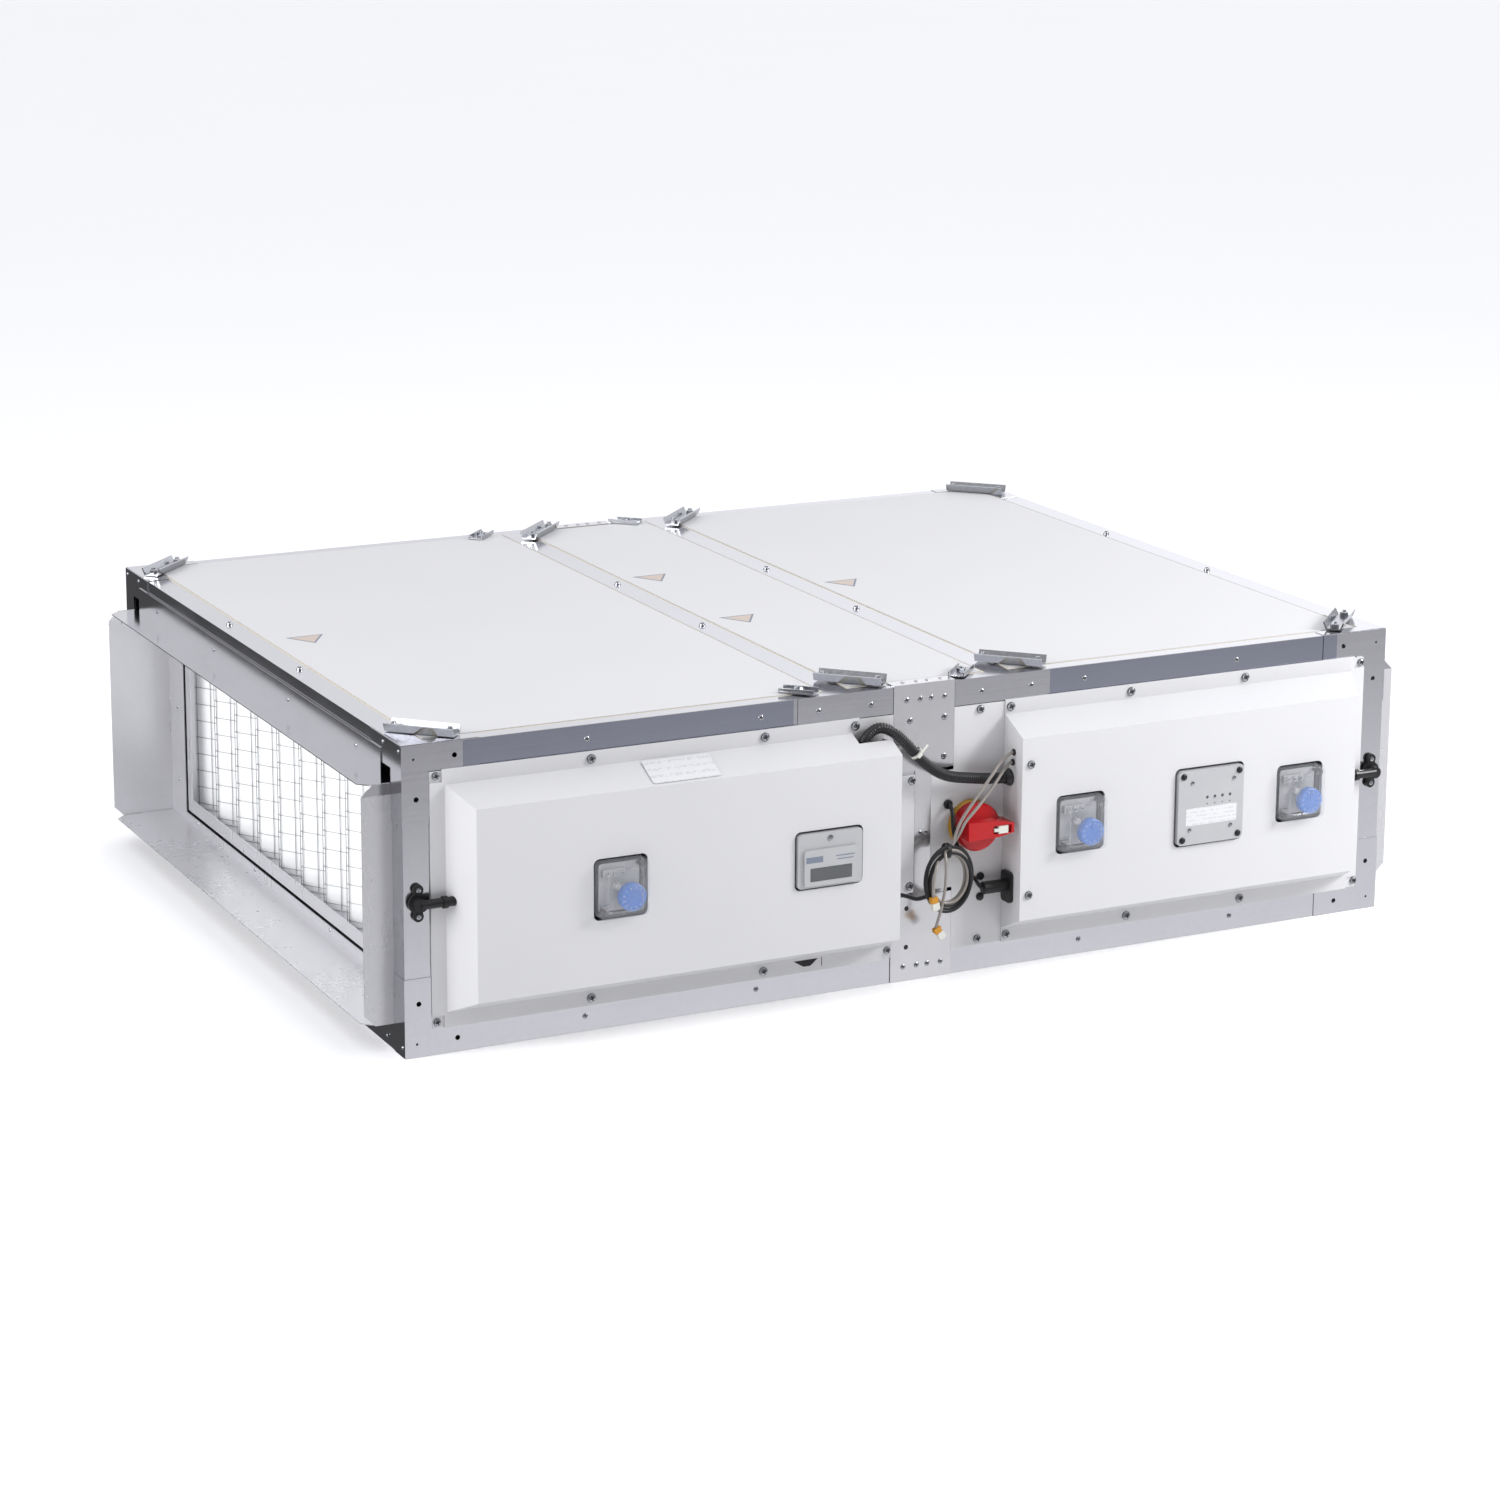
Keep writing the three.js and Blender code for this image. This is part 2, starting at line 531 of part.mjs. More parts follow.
/** Pleated panel filter: metal rim with the zigzag media bonded into it. */
function filterCassette() {
  const y0 = (DEPTH - FILTER_WIDTH) / 2;
  const y1 = DEPTH - y0;
  const z0 = FILTER_BOTTOM;
  const z1 = z0 + FILTER_HEIGHT;
  const x0 = FILTER_X;
  const x1 = x0 + FILTER_DEPTH;
  const rim = cut(
    box(x0, x1, y0, y1, z0, z1),
    box(x0 + 1.5, x1 + 1, y0 + 1.5, y1 - 1.5, z0 + 1.5, z1 - 1.5),
    box(x0 - 1, x0 + 2, y0 + FILTER_LIP, y1 - FILTER_LIP, z0 + FILTER_LIP, z1 - FILTER_LIP),
  );
  const pleats = Math.round((FILTER_WIDTH - 3) / PLEAT_PITCH);
  const pitch = (FILTER_WIDTH - 3) / pleats;
  const near = x0 + FILTER_DEPTH - PLEAT_DEPTH - MEDIA_SHEET;
  const run = [];
  for (let i = 0; i <= 2 * pleats; i++) run.push([near + (i % 2) * PLEAT_DEPTH, y0 + 1 + (i * pitch) / 2]);
  const ribbon = [...run.map(([x, y]) => [x, y]), ...run.map(([x, y]) => [x + MEDIA_SHEET, y]).reverse()];
  part("filter_cassette", joined(rim, extrude(ribbon, "z", z0 + 1, z1 - 1)), MEDIA);
}

// ---------------------------------------------------------------- fan section
const FAN_WALL_X = -END + FAN_WALL_INSET;
const FAN_Z = (FLOOR_Z + CEILING_Z) / 2;

/** The cross-shaped wall: a bulkhead with two inlet nozzles and the divider between airflows. */
function fanWall() {
  const y0 = RAIL + PANEL_SHEET + 2 * GAP;
  const bulkhead = box(FAN_WALL_X, FAN_WALL_X + WALL_SHEET, y0, DEPTH - y0, FLOOR_Z, CEILING_Z);
  const divider = box(FILTER_X + FILTER_DEPTH + 4, -2, DEPTH / 2 - 1, DEPTH / 2 + 1, FLOOR_Z, CEILING_Z);
  const throat = FAN_INLET - 6;
  const outside = [[throat + 32, -2], [throat + 32, 0], [throat + 18, 4], [throat, 16], [throat, 30]];
  const inside = [[throat - 2, 30], [throat - 2, 15], [throat + 16, 2], [throat + 26, -2], [throat + 32, -2]];
  const nozzle = [...outside, ...inside];
  const inlets = [DEPTH / 4, (3 * DEPTH) / 4].map((y) => [FAN_WALL_X, y, FAN_Z]);
  const bores = inlets.map((centre) => cylinder("x", centre, throat + 24, 12, 32));
  const nozzles = inlets.map((centre) => turned("x", centre, nozzle, 32));
  part("fan_wall", joined(cut(joined(bulkhead, divider), bores), nozzles), GALVANISED);
}

/** Backward-curved impeller on its external rotor, turning about its own X axis. */
function impeller(name, y) {
  const fan = new THREE.Group();
  fan.position.set(FAN_WALL_X + 22, y, FAN_Z);
  unit.add(fan);
  const shroud = [[FAN_INLET, 0], [FAN_RADIUS, 14], [FAN_RADIUS, 16], [FAN_INLET, 2], [FAN_INLET, 0]];
  const hub = FAN_WIDTH - 8;
  const plate = [[0, hub - 4], [40, hub], [FAN_RADIUS, hub], [FAN_RADIUS, hub + 2]];
  const rotor = [...plate, [ROTOR_RADIUS, hub + 2], [ROTOR_RADIUS, hub + 32], [0, hub + 32]];
  const blades = Array.from({ length: FAN_BLADES }, (_, i) => blade((2 * Math.PI * i) / FAN_BLADES));
  const rings = [shroud, rotor].map((profile) => turned("x", [0, 0, 0], profile, 28));
  part(name, joined(rings, blades), DARK_METAL, fan);
}

/** One blade, leaning back from the hub to the rim. */
function blade(angle) {
  const point = (radius, lag) => [radius * Math.cos(angle - lag), radius * Math.sin(angle - lag)];
  const middle = point((FAN_INLET + FAN_RADIUS) / 2, 0.32);
  const run = [point(FAN_INLET - 6, 0), middle, point(FAN_RADIUS - 1, 0.75)];
  return extrude(folded(run, 2), "x", 8, FAN_WIDTH - 7);
}

/** Stator on a strap that is fixed to the floor and the top of the section. */
function fanMotor(name, y) {
  const rotorEnd = FAN_WALL_X + 22 + FAN_WIDTH + 24;
  const strap = box(rotorEnd + 16, rotorEnd + 19, y - 40, y + 40, FLOOR_Z, CEILING_Z);
  const foot = box(rotorEnd + 16, rotorEnd + 56, y - 40, y + 40, FLOOR_Z, FLOOR_Z + 3);
  const stator = cylinder("x", [rotorEnd + 10, y, FAN_Z], ROTOR_RADIUS - 4, 16, 24);
  part(name, joined(strap, foot, stator), DARK_METAL);
}

// ---------------------------------------------------------------- exchanger section
const CORE_Y = DEPTH / 2;
const HALF_DIAGONAL = CORE_SIDE / Math.SQRT2;
const TRAY_MARGIN = 6; // the tray's walls outside the core's faces
const TRAY_BOTTOM = CORE_TOP - 8;

/** A square turned 45 degrees about the core's centre, grown by a margin. */
function diamond(margin, z0, z1) {
  const reach = HALF_DIAGONAL + margin * Math.SQRT2;
  const turns = [[-1, 0], [0, -1], [1, 0], [0, 1]];
  const outline = turns.map(([u, v]) => [CORE_X + u * reach, CORE_Y + v * reach]);
  return extrude(outline, "z", z0, z1);
}

/** Cross-flow block: a stack of plates whose gaps are closed on two sides, turn about. */
function exchangerCore() {
  const core = new THREE.Group();
  core.position.set(CORE_X, CORE_Y, CORE_BOTTOM);
  core.rotation.z = Math.PI / 4;
  unit.add(core);
  const half = CORE_SIDE / 2;
  const pitch = (CORE_TOP - CORE_BOTTOM - CORE_PLATE) / CORE_GAPS;
  const pieces = [];
  for (let i = 0; i <= CORE_GAPS; i++) {
    const z = i * pitch;
    pieces.push(box(-half, half, -half, half, z, z + CORE_PLATE));
    if (i === CORE_GAPS) break;
    for (const side of [-1, 1]) {
      const strip = [side * half, side * (half - CORE_SEAM)];
      const across = i % 2 ? [...strip, -half, half] : [-half, half, ...strip];
      pieces.push(box(...across, z, z + pitch + CORE_PLATE / 2));
    }
  }
  part("exchanger_core", joined(pieces), CORE_PLASTIC, core);
}

/** Floor under the core with the walls that keep the two airflows apart. */
function exchangerHousing() {
  const floor = diamond(2, CORE_BOTTOM - GAP - WALL_SHEET, CORE_BOTTOM - GAP);
  const reach = HALF_DIAGONAL + GAP;
  const y0 = RAIL + PANEL_SHEET + 2 * GAP;
  const half = WALL_SHEET / 2;
  const high = CEILING_Z;
  const trayRoom = diamond(TRAY_MARGIN + GAP, TRAY_BOTTOM - GAP, CEILING_Z + 1);
  const walls = [
    box(CORE_X - half, CORE_X + half, y0, CORE_Y - reach, FLOOR_Z, high),
    box(CORE_X - half, CORE_X + half, CORE_Y + reach, DEPTH - y0, FLOOR_Z, high),
    box(2, CORE_X - reach, CORE_Y - half, CORE_Y + half, FLOOR_Z, high),
    box(CORE_X + reach, END - COLLAR_IN - COLLAR_SHEET - GAP, CORE_Y - half, CORE_Y + half, FLOOR_Z, high),
  ];
  const skirtTop = CORE_BOTTOM - GAP - WALL_SHEET + 0.5;
  const skirts = [diagonalWall(1, -1, skirtTop), diagonalWall(-1, 1, skirtTop)];
  const housing = joined(floor, cut(joined(walls), trayRoom), skirts, hingeTabs(skirtTop));
  part("exchanger_housing", housing, GALVANISED);
}

/** A wall under one edge of the diamond; sx, sy point to the side it closes. */
function diagonalWall(sx, sy, top) {
  const reach = HALF_DIAGONAL + 1;
  const ends = (r) => [[CORE_X + sx * r, CORE_Y], [CORE_X, CORE_Y + sy * r]];
  const outline = [...ends(reach), ...ends(reach - 3).reverse()];
  return extrude(outline, "z", FLOOR_Z, top);
}

// The bypass blade stands under the core's front left edge and turns about that edge's direction.
const BLADE_CENTRE = [CORE_X - HALF_DIAGONAL / 2, CORE_Y - HALF_DIAGONAL / 2];
const BLADE_Z = (FLOOR_Z + CORE_BOTTOM - WALL_SHEET) / 2;
const PIVOT_RADIUS = 4;

/** Turns a solid's mesh from the X direction onto the front left edge's direction. */
function bladeGroup() {
  const group = new THREE.Group();
  group.position.set(...BLADE_CENTRE, BLADE_Z);
  group.rotation.z = -Math.PI / 4;
  unit.add(group);
  return group;
}

function hingeTabs(top) {
  const direction = [Math.SQRT1_2, -Math.SQRT1_2];
  return [-1, 1].map((end) => {
    const run = end * (BLADE_LENGTH / 2 + 4);
    const centre = [BLADE_CENTRE[0] + direction[0] * run, BLADE_CENTRE[1] + direction[1] * run];
    const tab = new THREE.BoxGeometry(3, 30, top - BLADE_Z + 10);
    const boreRadius = PIVOT_RADIUS + 0.5;
    const bore = new THREE.CylinderGeometry(boreRadius, boreRadius, 9, 16).rotateZ(Math.PI / 2);
    const place = (geometry, z) => solid(geometry.rotateZ(-Math.PI / 4).translate(...centre, z));
    return cut(place(tab, (top + BLADE_Z - 10) / 2), place(bore, BLADE_Z));
  });
}

function bypassBlade() {
  const shaft = cylinder("x", [0, 0, 0], PIVOT_RADIUS, BLADE_LENGTH + 16, 16);
  const leaf = box(-BLADE_LENGTH / 2, BLADE_LENGTH / 2, -1.5, 1.5, -BLADE_HEIGHT / 2, BLADE_HEIGHT / 2);
  part("bypass_blade", joined(shaft, leaf), GALVANISED, bladeGroup());
}

/** Condensate tray over the core, open towards it, with its drain pipe out of the back. */
function condensateTray() {
  const high = CEILING_Z - 2;
  const hollow = diamond(TRAY_MARGIN - WALL_SHEET, TRAY_BOTTOM - 1, high - WALL_SHEET);
  const shell = cut(diamond(TRAY_MARGIN, TRAY_BOTTOM, high), hollow);
  part("condensate_tray", joined(shell, drainPipe(0)), BLACK_PLASTIC);
}

/** The drain pipe, or the hole it passes when grown by a clearance. */
function drainPipe(clearance) {
  const x = CORE_X + 50;
  const start = CORE_Y + HALF_DIAGONAL - 50 + 4;
  const end = DEPTH + DRAIN_PROUD;
  const centre = [x, (start + end) / 2, CORE_TOP + 16];
  return cylinder("y", centre, DRAIN_RADIUS + clearance, end - start, 16);
}

// ---------------------------------------------------------------- devices in the covers
/** Pressure switch: body with a hooded clear front and a dial under it. */
function pressureSwitch(index) {
  const place = new THREE.Group();
  place.position.set(SWITCH_X[index], 0, DEVICE_Z);
  unit.add(place);
  const width = SWITCH_WINDOW[0] - 2 * WINDOW_CLEARANCE;
  const height = SWITCH_WINDOW[1] - 2 * WINDOW_CLEARANCE;
  const hoodBack = FACE_Y + 6;
  const hoodFront = FACE_Y - HOOD_PROUD;
  const body = extrude(roundedRectangle(0, 0, width, height, 6), "y", hoodBack, FLANGE_Y - 3);
  const hood = extrude(roundedRectangle(0, 0, width, height, 6), "y", hoodFront, hoodBack + 0.5);
  const cavity = extrude(roundedRectangle(0, 0, width - 5, height - 5, 4), "y", hoodFront + 2.5, hoodBack);
  const vent = box(-8, 8, hoodFront + 5, hoodFront + 12, -height, 0);
  const seat = cylinder("y", [DIAL_OFFSET[0], hoodBack - 2.5, DIAL_OFFSET[1]], 9, 5, 16);
  part(`pressure_switch_${index + 1}`, joined(body, cut(hood, cavity, vent), seat), CLEAR_PLASTIC, place);
  const dial = new THREE.Group();
  dial.position.set(DIAL_OFFSET[0], hoodBack - 5 - GAP, DIAL_OFFSET[1]);
  place.add(dial);
  const knob = [[0, 0], [10, 0], [DIAL_RADIUS, -3], [DIAL_RADIUS, -12], [DIAL_RADIUS - 1.5, -13], [0, -13]];
  const pointer = box(-1.5, 1.5, -13.6, -12, 4, DIAL_RADIUS - 2);
  part(`dial_${index + 1}`, joined(turned("y", [0, 0, 0], knob, 28), pointer), BLUE_PLASTIC, dial);
}

/** Small display controller with a raised bezel. */
function displayController() {
  const width = DISPLAY_WINDOW[0] - 2 * WINDOW_CLEARANCE;
  const height = DISPLAY_WINDOW[1] - 2 * WINDOW_CLEARANCE;
  const outline = roundedRectangle(DISPLAY_X, DEVICE_Z, width, height, 5);
  const shell = extrude(outline, "y", FACE_Y - 4, FLANGE_Y - 3);
  const raised = roundedRectangle(DISPLAY_X, DEVICE_Z - 9, width - 16, height - 24, 3);
  const bezel = extrude(raised, "y", FACE_Y - 7, FACE_Y);
  const screen = box(DISPLAY_X - 30, DISPLAY_X + 30, FACE_Y - 8, FACE_Y - 6, DEVICE_Z - 27, DEVICE_Z - 9);
  part("display_controller", cut(joined(shell, bezel), screen), GREY_PLASTIC);
}

/** Status lamp box: a lidded enclosure with a row of lamp holes. */
function lampBox() {
  const size = LAMP_BOX_WINDOW[0] - 2 * WINDOW_CLEARANCE;
  const shell = extrude(roundedRectangle(LAMP_BOX_X, DEVICE_Z, size, size, 6), "y", FACE_Y - 5, FLANGE_Y - 3);
  const lamps = [0, 1, 2, 3].map((i) =>
    cylinder("y", [LAMP_BOX_X + 12 * i - 6, FACE_Y - 5, DEVICE_Z + 12], 2.2, 4, 12));
  part("lamp_box", cut(shell, lamps), GREY_PLASTIC);
}

/** Isolator: yellow escutcheon, red handle that turns, white padlock slide in its grip. */
function isolator() {
  const base = new THREE.Group();
  base.position.set(ISOLATOR_X, SKIN_Y - GAP, ISOLATOR_Z);
  unit.add(base);
  const plate = [[0, 0], [33, 0], [33, -6], [31, -9], [0, -9]];
  part("isolator_base", turned("y", [0, 0, 0], plate, 36), YELLOW_PLASTIC, base);
  const disc = [[0, -9.3], [HANDLE_RADIUS, -9.3], [HANDLE_RADIUS, -22], [HANDLE_RADIUS - 3, -26], [0, -30]];
  const grip = extrude([[-26, -11], [18, -10], [42, -6], [42, 7], [18, 12], [-26, 14]], "y", -44, -12);
  const slot = box(11, 38, -45, -39, -5.3, 5.3);
  part("isolator_handle", cut(joined(turned("y", [0, 0, 0], disc, 36), grip), slot), RED_PLASTIC, base);
  const slide = joined(box(18, 32, -45.5, -39.3, -5, 5), box(11.5, 19, -45.5, -39.3, -2, 2));
  part("padlock_slide", slide, WHITE_PLASTIC, base);
}

/** Pressure tap at an end: lobed flange on the corner post and an elbow into the cover. */
function endTap(name, side) {
  const tap = new THREE.Group();
  tap.position.set(side * (END - RAIL / 2), TAP_Y, DEVICE_Z);
  unit.add(tap);
  const lobes = [-17, 17].map((z) => cylinder("y", [0, -2, z], 7, 4, 16));
  const flange = joined(cylinder("y", [0, -2, 0], 13, 4, 20), box(-6, 6, -4, 0, -17, 17), lobes);
  const toCover = RAIL / 2 + COVER_FLANGE;
  const reach = toCover + 14;
  const stub = cylinder("y", [0, -9, 0], 8, 14, 16);
  const pipe = cylinder("x", [(-side * reach) / 2, TAP_PIPE_Y - TAP_Y, 0], TAP_PIPE_RADIUS, reach, 16);
  const nut = cylinder("x", [-side * (toCover - 5), TAP_PIPE_Y - TAP_Y, 0], 8, 6, 16);
  part(name, joined(flange, stub, pipe, nut), BLACK_PLASTIC, tap);
}

/** Pressure tap on the right cover's straight side, with its hose back to the wall panel. */
function sideTap() {
  const x = COVER_RIGHT_START - GAP;
  const z = 116;
  const flange = extrude(roundedRectangle(-20, z, 26, 42, 6), "x", x - 4, x);
  const barrel = cylinder("x", [x - 20, -19, z + 2], 8.5, 36, 20);
  const hose = tube([[x - 34, -19, z + 2], [x - 40, -18, z + 3], [x - 43, -12, z + 9], [x - 43, -5, z + 12.5],
    [x - 43, SKIN_Y - 2 * GAP, z + 13]], 5, 12);
  part("side_tap", joined(flange, barrel, hose), BLACK_PLASTIC);
}

// ---------------------------------------------------------------- lid clamps
/** A U-channel clamp laid diagonally over a lid corner, with its two hex bolts. */
function clamp(name, x, y, turn) {
  const group = new THREE.Group();
  group.position.set(x, y, HEIGHT + GUSSET_SHEET + LID_PROUD + GAP);
  group.rotation.z = turn;
  unit.add(group);
  const half = CLAMP_WIDTH / 2;
  const run = [[half, CLAMP_LIFT], [half - 4, 0], [4 - half, 0], [-half, CLAMP_LIFT]];
  const section = folded(run, 2).map(([u, v]) => [u, v + 2]);
  const channel = extrude(section, "x", -CLAMP_LENGTH / 2, CLAMP_LENGTH / 2);
  const bolts = [-1, 1].map((end) => cylinder("z", [(end * BOLT_SPACING) / 2, 0, 4.5], 6, 5, 6));
  part(name, joined(channel, bolts), BRIGHT_STEEL, group);
}

function lidClamps() {
  const inset = 45;
  const stripReach = STRIP_OFFSET - 35;
  const diagonal = Math.PI / 4;
  const rows = [
    ["left", -END + inset, -END + inset],
    ["middle", -stripReach, -stripReach],
    ["right", STRIP_OFFSET + 35, STRIP_OFFSET + 35],
  ];
  for (const [place, frontX, backX] of rows) {
    clamp(`clamp_${place}_front`, frontX, inset, -diagonal);
    clamp(`clamp_${place}_back`, backX, DEPTH - inset, diagonal);
  }
  clamp("clamp_end_front", END - inset, inset, diagonal);
  clamp("clamp_end_back", END - inset, DEPTH - inset, -diagonal);
}

// ---------------------------------------------------------------- conduit and cables
// Routes, chosen by hand; x from the joint, y from the frame's front, z from its bottom.
const CONDUIT_ROUTE = [
  [-97, -12.5, 310], [-96, -12.5, 326], [-92, -13, 341], [-76, -14, 352], [-58, -18, 348], [-37, -23, 329],
  [-13, -25, 303], [20, -24, 281], [65, -22, 271], [100, -19, 266], [112, -18, 265],
];
const COIL = { x: 24, y: -30, z: 142, radius: 38.5, section: 8.5, squeeze: 0.8 };
const GREY_ROUTES = [
  [
    [120.2, -28, 301], [115, -28.4, 300.5], [98, -33, 291], [78, -39, 273], [55, -41, 247], [38, -40, 224],
    [31, -37, 206], [27, -33, 189.3],
  ],
  [
    [120.2, -26, 287], [115, -26.4, 286.6], [101, -33, 278], [82, -40, 261], [60, -43, 239], [42.6, -42, 221],
    [36, -38, 205], [32, -34, 188.7],
  ],
];
const BLACK_LEAD_ROUTE = [
  [37, -2.1, 234], [37.3, -7, 233.6], [37, -15, 227], [35, -20, 214], [35, -23.5, 201], [36.5, -27, 187.5],
];
const BLACK_TAIL_ROUTE = [
  [-9.2, -29, 117], [-18, -24, 118], [-29, -18, 121], [-42, -14, 125], [-52, -13, 127], [-61, -13, 127],
];
const GREY_TAIL_ROUTES = [
  [[4, -41, 171.5], [-2, -43.5, 162], [-5.5, -45, 149], [-6.5, -45, 136], [-6, -44.5, 124]],
  [[15, -41, 178.5], [12.5, -44, 168], [12, -45, 150], [10.5, -44.5, 128], [6.5, -42, 103], [2, -38, 80]],
];

function conduit() {
  const [x, y, z] = CONDUIT_ROUTE.at(-1);
  const bell = cylinder("x", [x + 4.2, y, z], 11.5, 8.4, 20, CONDUIT_DIAMETER / 2);
  part("conduit", joined(tube(CONDUIT_ROUTE, CONDUIT_DIAMETER, 30, 12), bell), BLACK_PLASTIC);
}

/** The shared coil's outer shape, hung in the plane of the front. */
function cableCoil() {
  const { x, y, z, radius, section, squeeze } = COIL;
  const circle = Array.from({ length: 11 }, (_, i) => {
    const angle = (2 * Math.PI * i) / 10;
    return [radius + section * Math.cos(angle), section * Math.sin(angle)];
  });
  const ring = part("cable_coil", turned("y", [0, 0, 0], circle, 28), BLACK_PLASTIC);
  ring.position.set(x, y, z);
  ring.scale.x = squeeze;
}

function cables() {
  part("black_lead", tube(BLACK_LEAD_ROUTE, BLACK_CABLE, 8), BLACK_PLASTIC);
  part("black_tail", tube(BLACK_TAIL_ROUTE, BLACK_CABLE, 8), BLACK_PLASTIC);
  GREY_ROUTES.forEach((route, i) => part(`grey_lead_${i + 1}`, tube(route, GREY_CABLE, 18), GREY_SHEATH));
  GREY_TAIL_ROUTES.forEach((route, i) => {
    const [x, y, z] = route.at(-1);
    const latch = box(x - 7, x + 6, y - 4, y + 4, z - 10, z + 1);
    const plug = joined(latch, box(x - 3, x + 9, y - 5, y + 5, z - 22, z - 9));
    part(`grey_tail_${i + 1}`, joined(tube(route, GREY_CABLE, 12), plug), WHITE_PLASTIC);
  });
}

// ---------------------------------------------------------------- assembly
for (const side of [-1, 1]) frameModule(side);
jointPlate("front_joint_plate", false);
jointPlate("back_joint_plate", true);

const stripInner = STRIP_OFFSET - STRIP_WIDTH / 2;
const stripOuter = STRIP_OFFSET + STRIP_WIDTH / 2;
lid("left", -END + END_STRIP, -stripOuter);
lid("middle", -stripInner, stripInner);
lid("right", stripOuter, END - END_STRIP);
wallPanel("front_panel_left", -1, false);
wallPanel("front_panel_right", 1, false);
wallPanel("back_panel_left", -1, true);
wallPanel("back_panel_right", 1, true, [drainPipe(1)]);
bottomPanel("bottom_panel_left", -1);
bottomPanel("bottom_panel_right", 1);

const tailHole = [[BLACK_TAIL_ROUTE.at(-1)[1], BLACK_TAIL_ROUTE.at(-1)[2], 5]];
const tapHole = [[TAP_PIPE_Y, DEVICE_Z, TAP_PIPE_RADIUS + 0.5]];
const tapHoleX = END - RAIL - COVER_FLANGE - COVER_BEVEL / 4;
cover("left_cover", -END + RAIL, COVER_LEFT_END, -1,
  [[SWITCH_X[0], SWITCH_WINDOW], [DISPLAY_X, DISPLAY_WINDOW]],
  [conduitNotch(), ...sideHoles(COVER_LEFT_END, tailHole), ...sideHoles(-tapHoleX, tapHole)]);
cover("right_cover", COVER_RIGHT_START, END - RAIL, 1,
  [[SWITCH_X[1], SWITCH_WINDOW], [SWITCH_X[2], SWITCH_WINDOW], [LAMP_BOX_X, LAMP_BOX_WINDOW]],
  sideHoles(tapHoleX, tapHole));

collar("left_collar", -1);
collar("right_collar", 1);
filterCassette();
fanWall();
for (const [name, share] of [["supply_fan", 1 / 4], ["extract_fan", 3 / 4]]) {
  impeller(`${name}_impeller`, share * DEPTH);
  fanMotor(`${name}_motor`, share * DEPTH);
}
exchangerCore();
exchangerHousing();
bypassBlade();
condensateTray();

for (const index of SWITCH_X.keys()) pressureSwitch(index);
displayController();
lampBox();
isolator();
endTap("left_tap", -1);
endTap("right_tap", 1);
sideTap();
lidClamps();

conduit();
cableCoil();
cables();

export default unit;
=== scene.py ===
"""Ceiling heat recovery unit: finishes, fasteners, cables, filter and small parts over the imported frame."""

import logging
import math
from dataclasses import dataclass, field
from enum import Enum
from typing import Iterable, Sequence, Union

import bmesh
import bpy
from mathutils import Matrix, Vector


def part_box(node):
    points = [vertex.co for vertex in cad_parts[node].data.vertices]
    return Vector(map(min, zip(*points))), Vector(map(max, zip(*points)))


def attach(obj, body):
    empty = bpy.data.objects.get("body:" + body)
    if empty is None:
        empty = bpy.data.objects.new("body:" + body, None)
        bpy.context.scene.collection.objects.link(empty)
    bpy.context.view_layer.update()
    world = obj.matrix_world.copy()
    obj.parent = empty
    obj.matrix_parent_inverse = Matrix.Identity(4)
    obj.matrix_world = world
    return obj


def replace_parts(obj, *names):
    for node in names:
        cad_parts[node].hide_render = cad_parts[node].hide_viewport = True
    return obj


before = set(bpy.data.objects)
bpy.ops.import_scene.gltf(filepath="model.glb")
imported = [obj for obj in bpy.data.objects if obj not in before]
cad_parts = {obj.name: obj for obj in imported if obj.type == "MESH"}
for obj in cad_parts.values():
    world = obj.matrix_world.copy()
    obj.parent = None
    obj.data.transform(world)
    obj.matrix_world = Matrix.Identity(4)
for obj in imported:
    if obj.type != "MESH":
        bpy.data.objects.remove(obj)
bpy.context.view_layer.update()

log = logging.getLogger("heat_recovery_unit")

Point = Sequence[float]
MM = 0.001
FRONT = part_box("left_frame")[0].y + MM  # the frame's front face, behind its corner plates
DEPTH = (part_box("left_frame")[1].y - FRONT) / MM - 1
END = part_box("right_frame")[1].x / MM - 1
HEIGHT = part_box("left_frame")[1].z / MM - 1
CASING = "casing"
SHARP = 35  # degrees between faces from which an edge is rounded or stays hard
AXIS = 0.01  # millimetres; a turned profile's least radius


def at(x: float, y: float, z: float) -> Vector:
    """A place in the row frame.

    Args:
        x: Millimetres from the joint between the modules.
        y: Millimetres behind the frame's front face.
        z: Millimetres above the frame's underside.

    Returns:
        The point in metres.
    """
    return Vector((x * MM, FRONT + y * MM, z * MM))


def extent(node: str) -> tuple:
    """Where a CAD node lies.

    Args:
        node: Its name.

    Returns:
        Its lowest corner, its highest corner and its middle, in metres.
    """
    low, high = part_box(node)
    return low, high, (low + high) / 2


def add(name: str, data: bpy.types.ID) -> bpy.types.Object:
    """Puts an object in the scene.

    Args:
        name: Its name.
        data: Its mesh, curve, light or camera.

    Returns:
        The object.
    """
    made = bpy.data.objects.new(name, data)
    bpy.context.scene.collection.objects.link(made)
    return made


# ------------------------------------------------------------------ shader writing


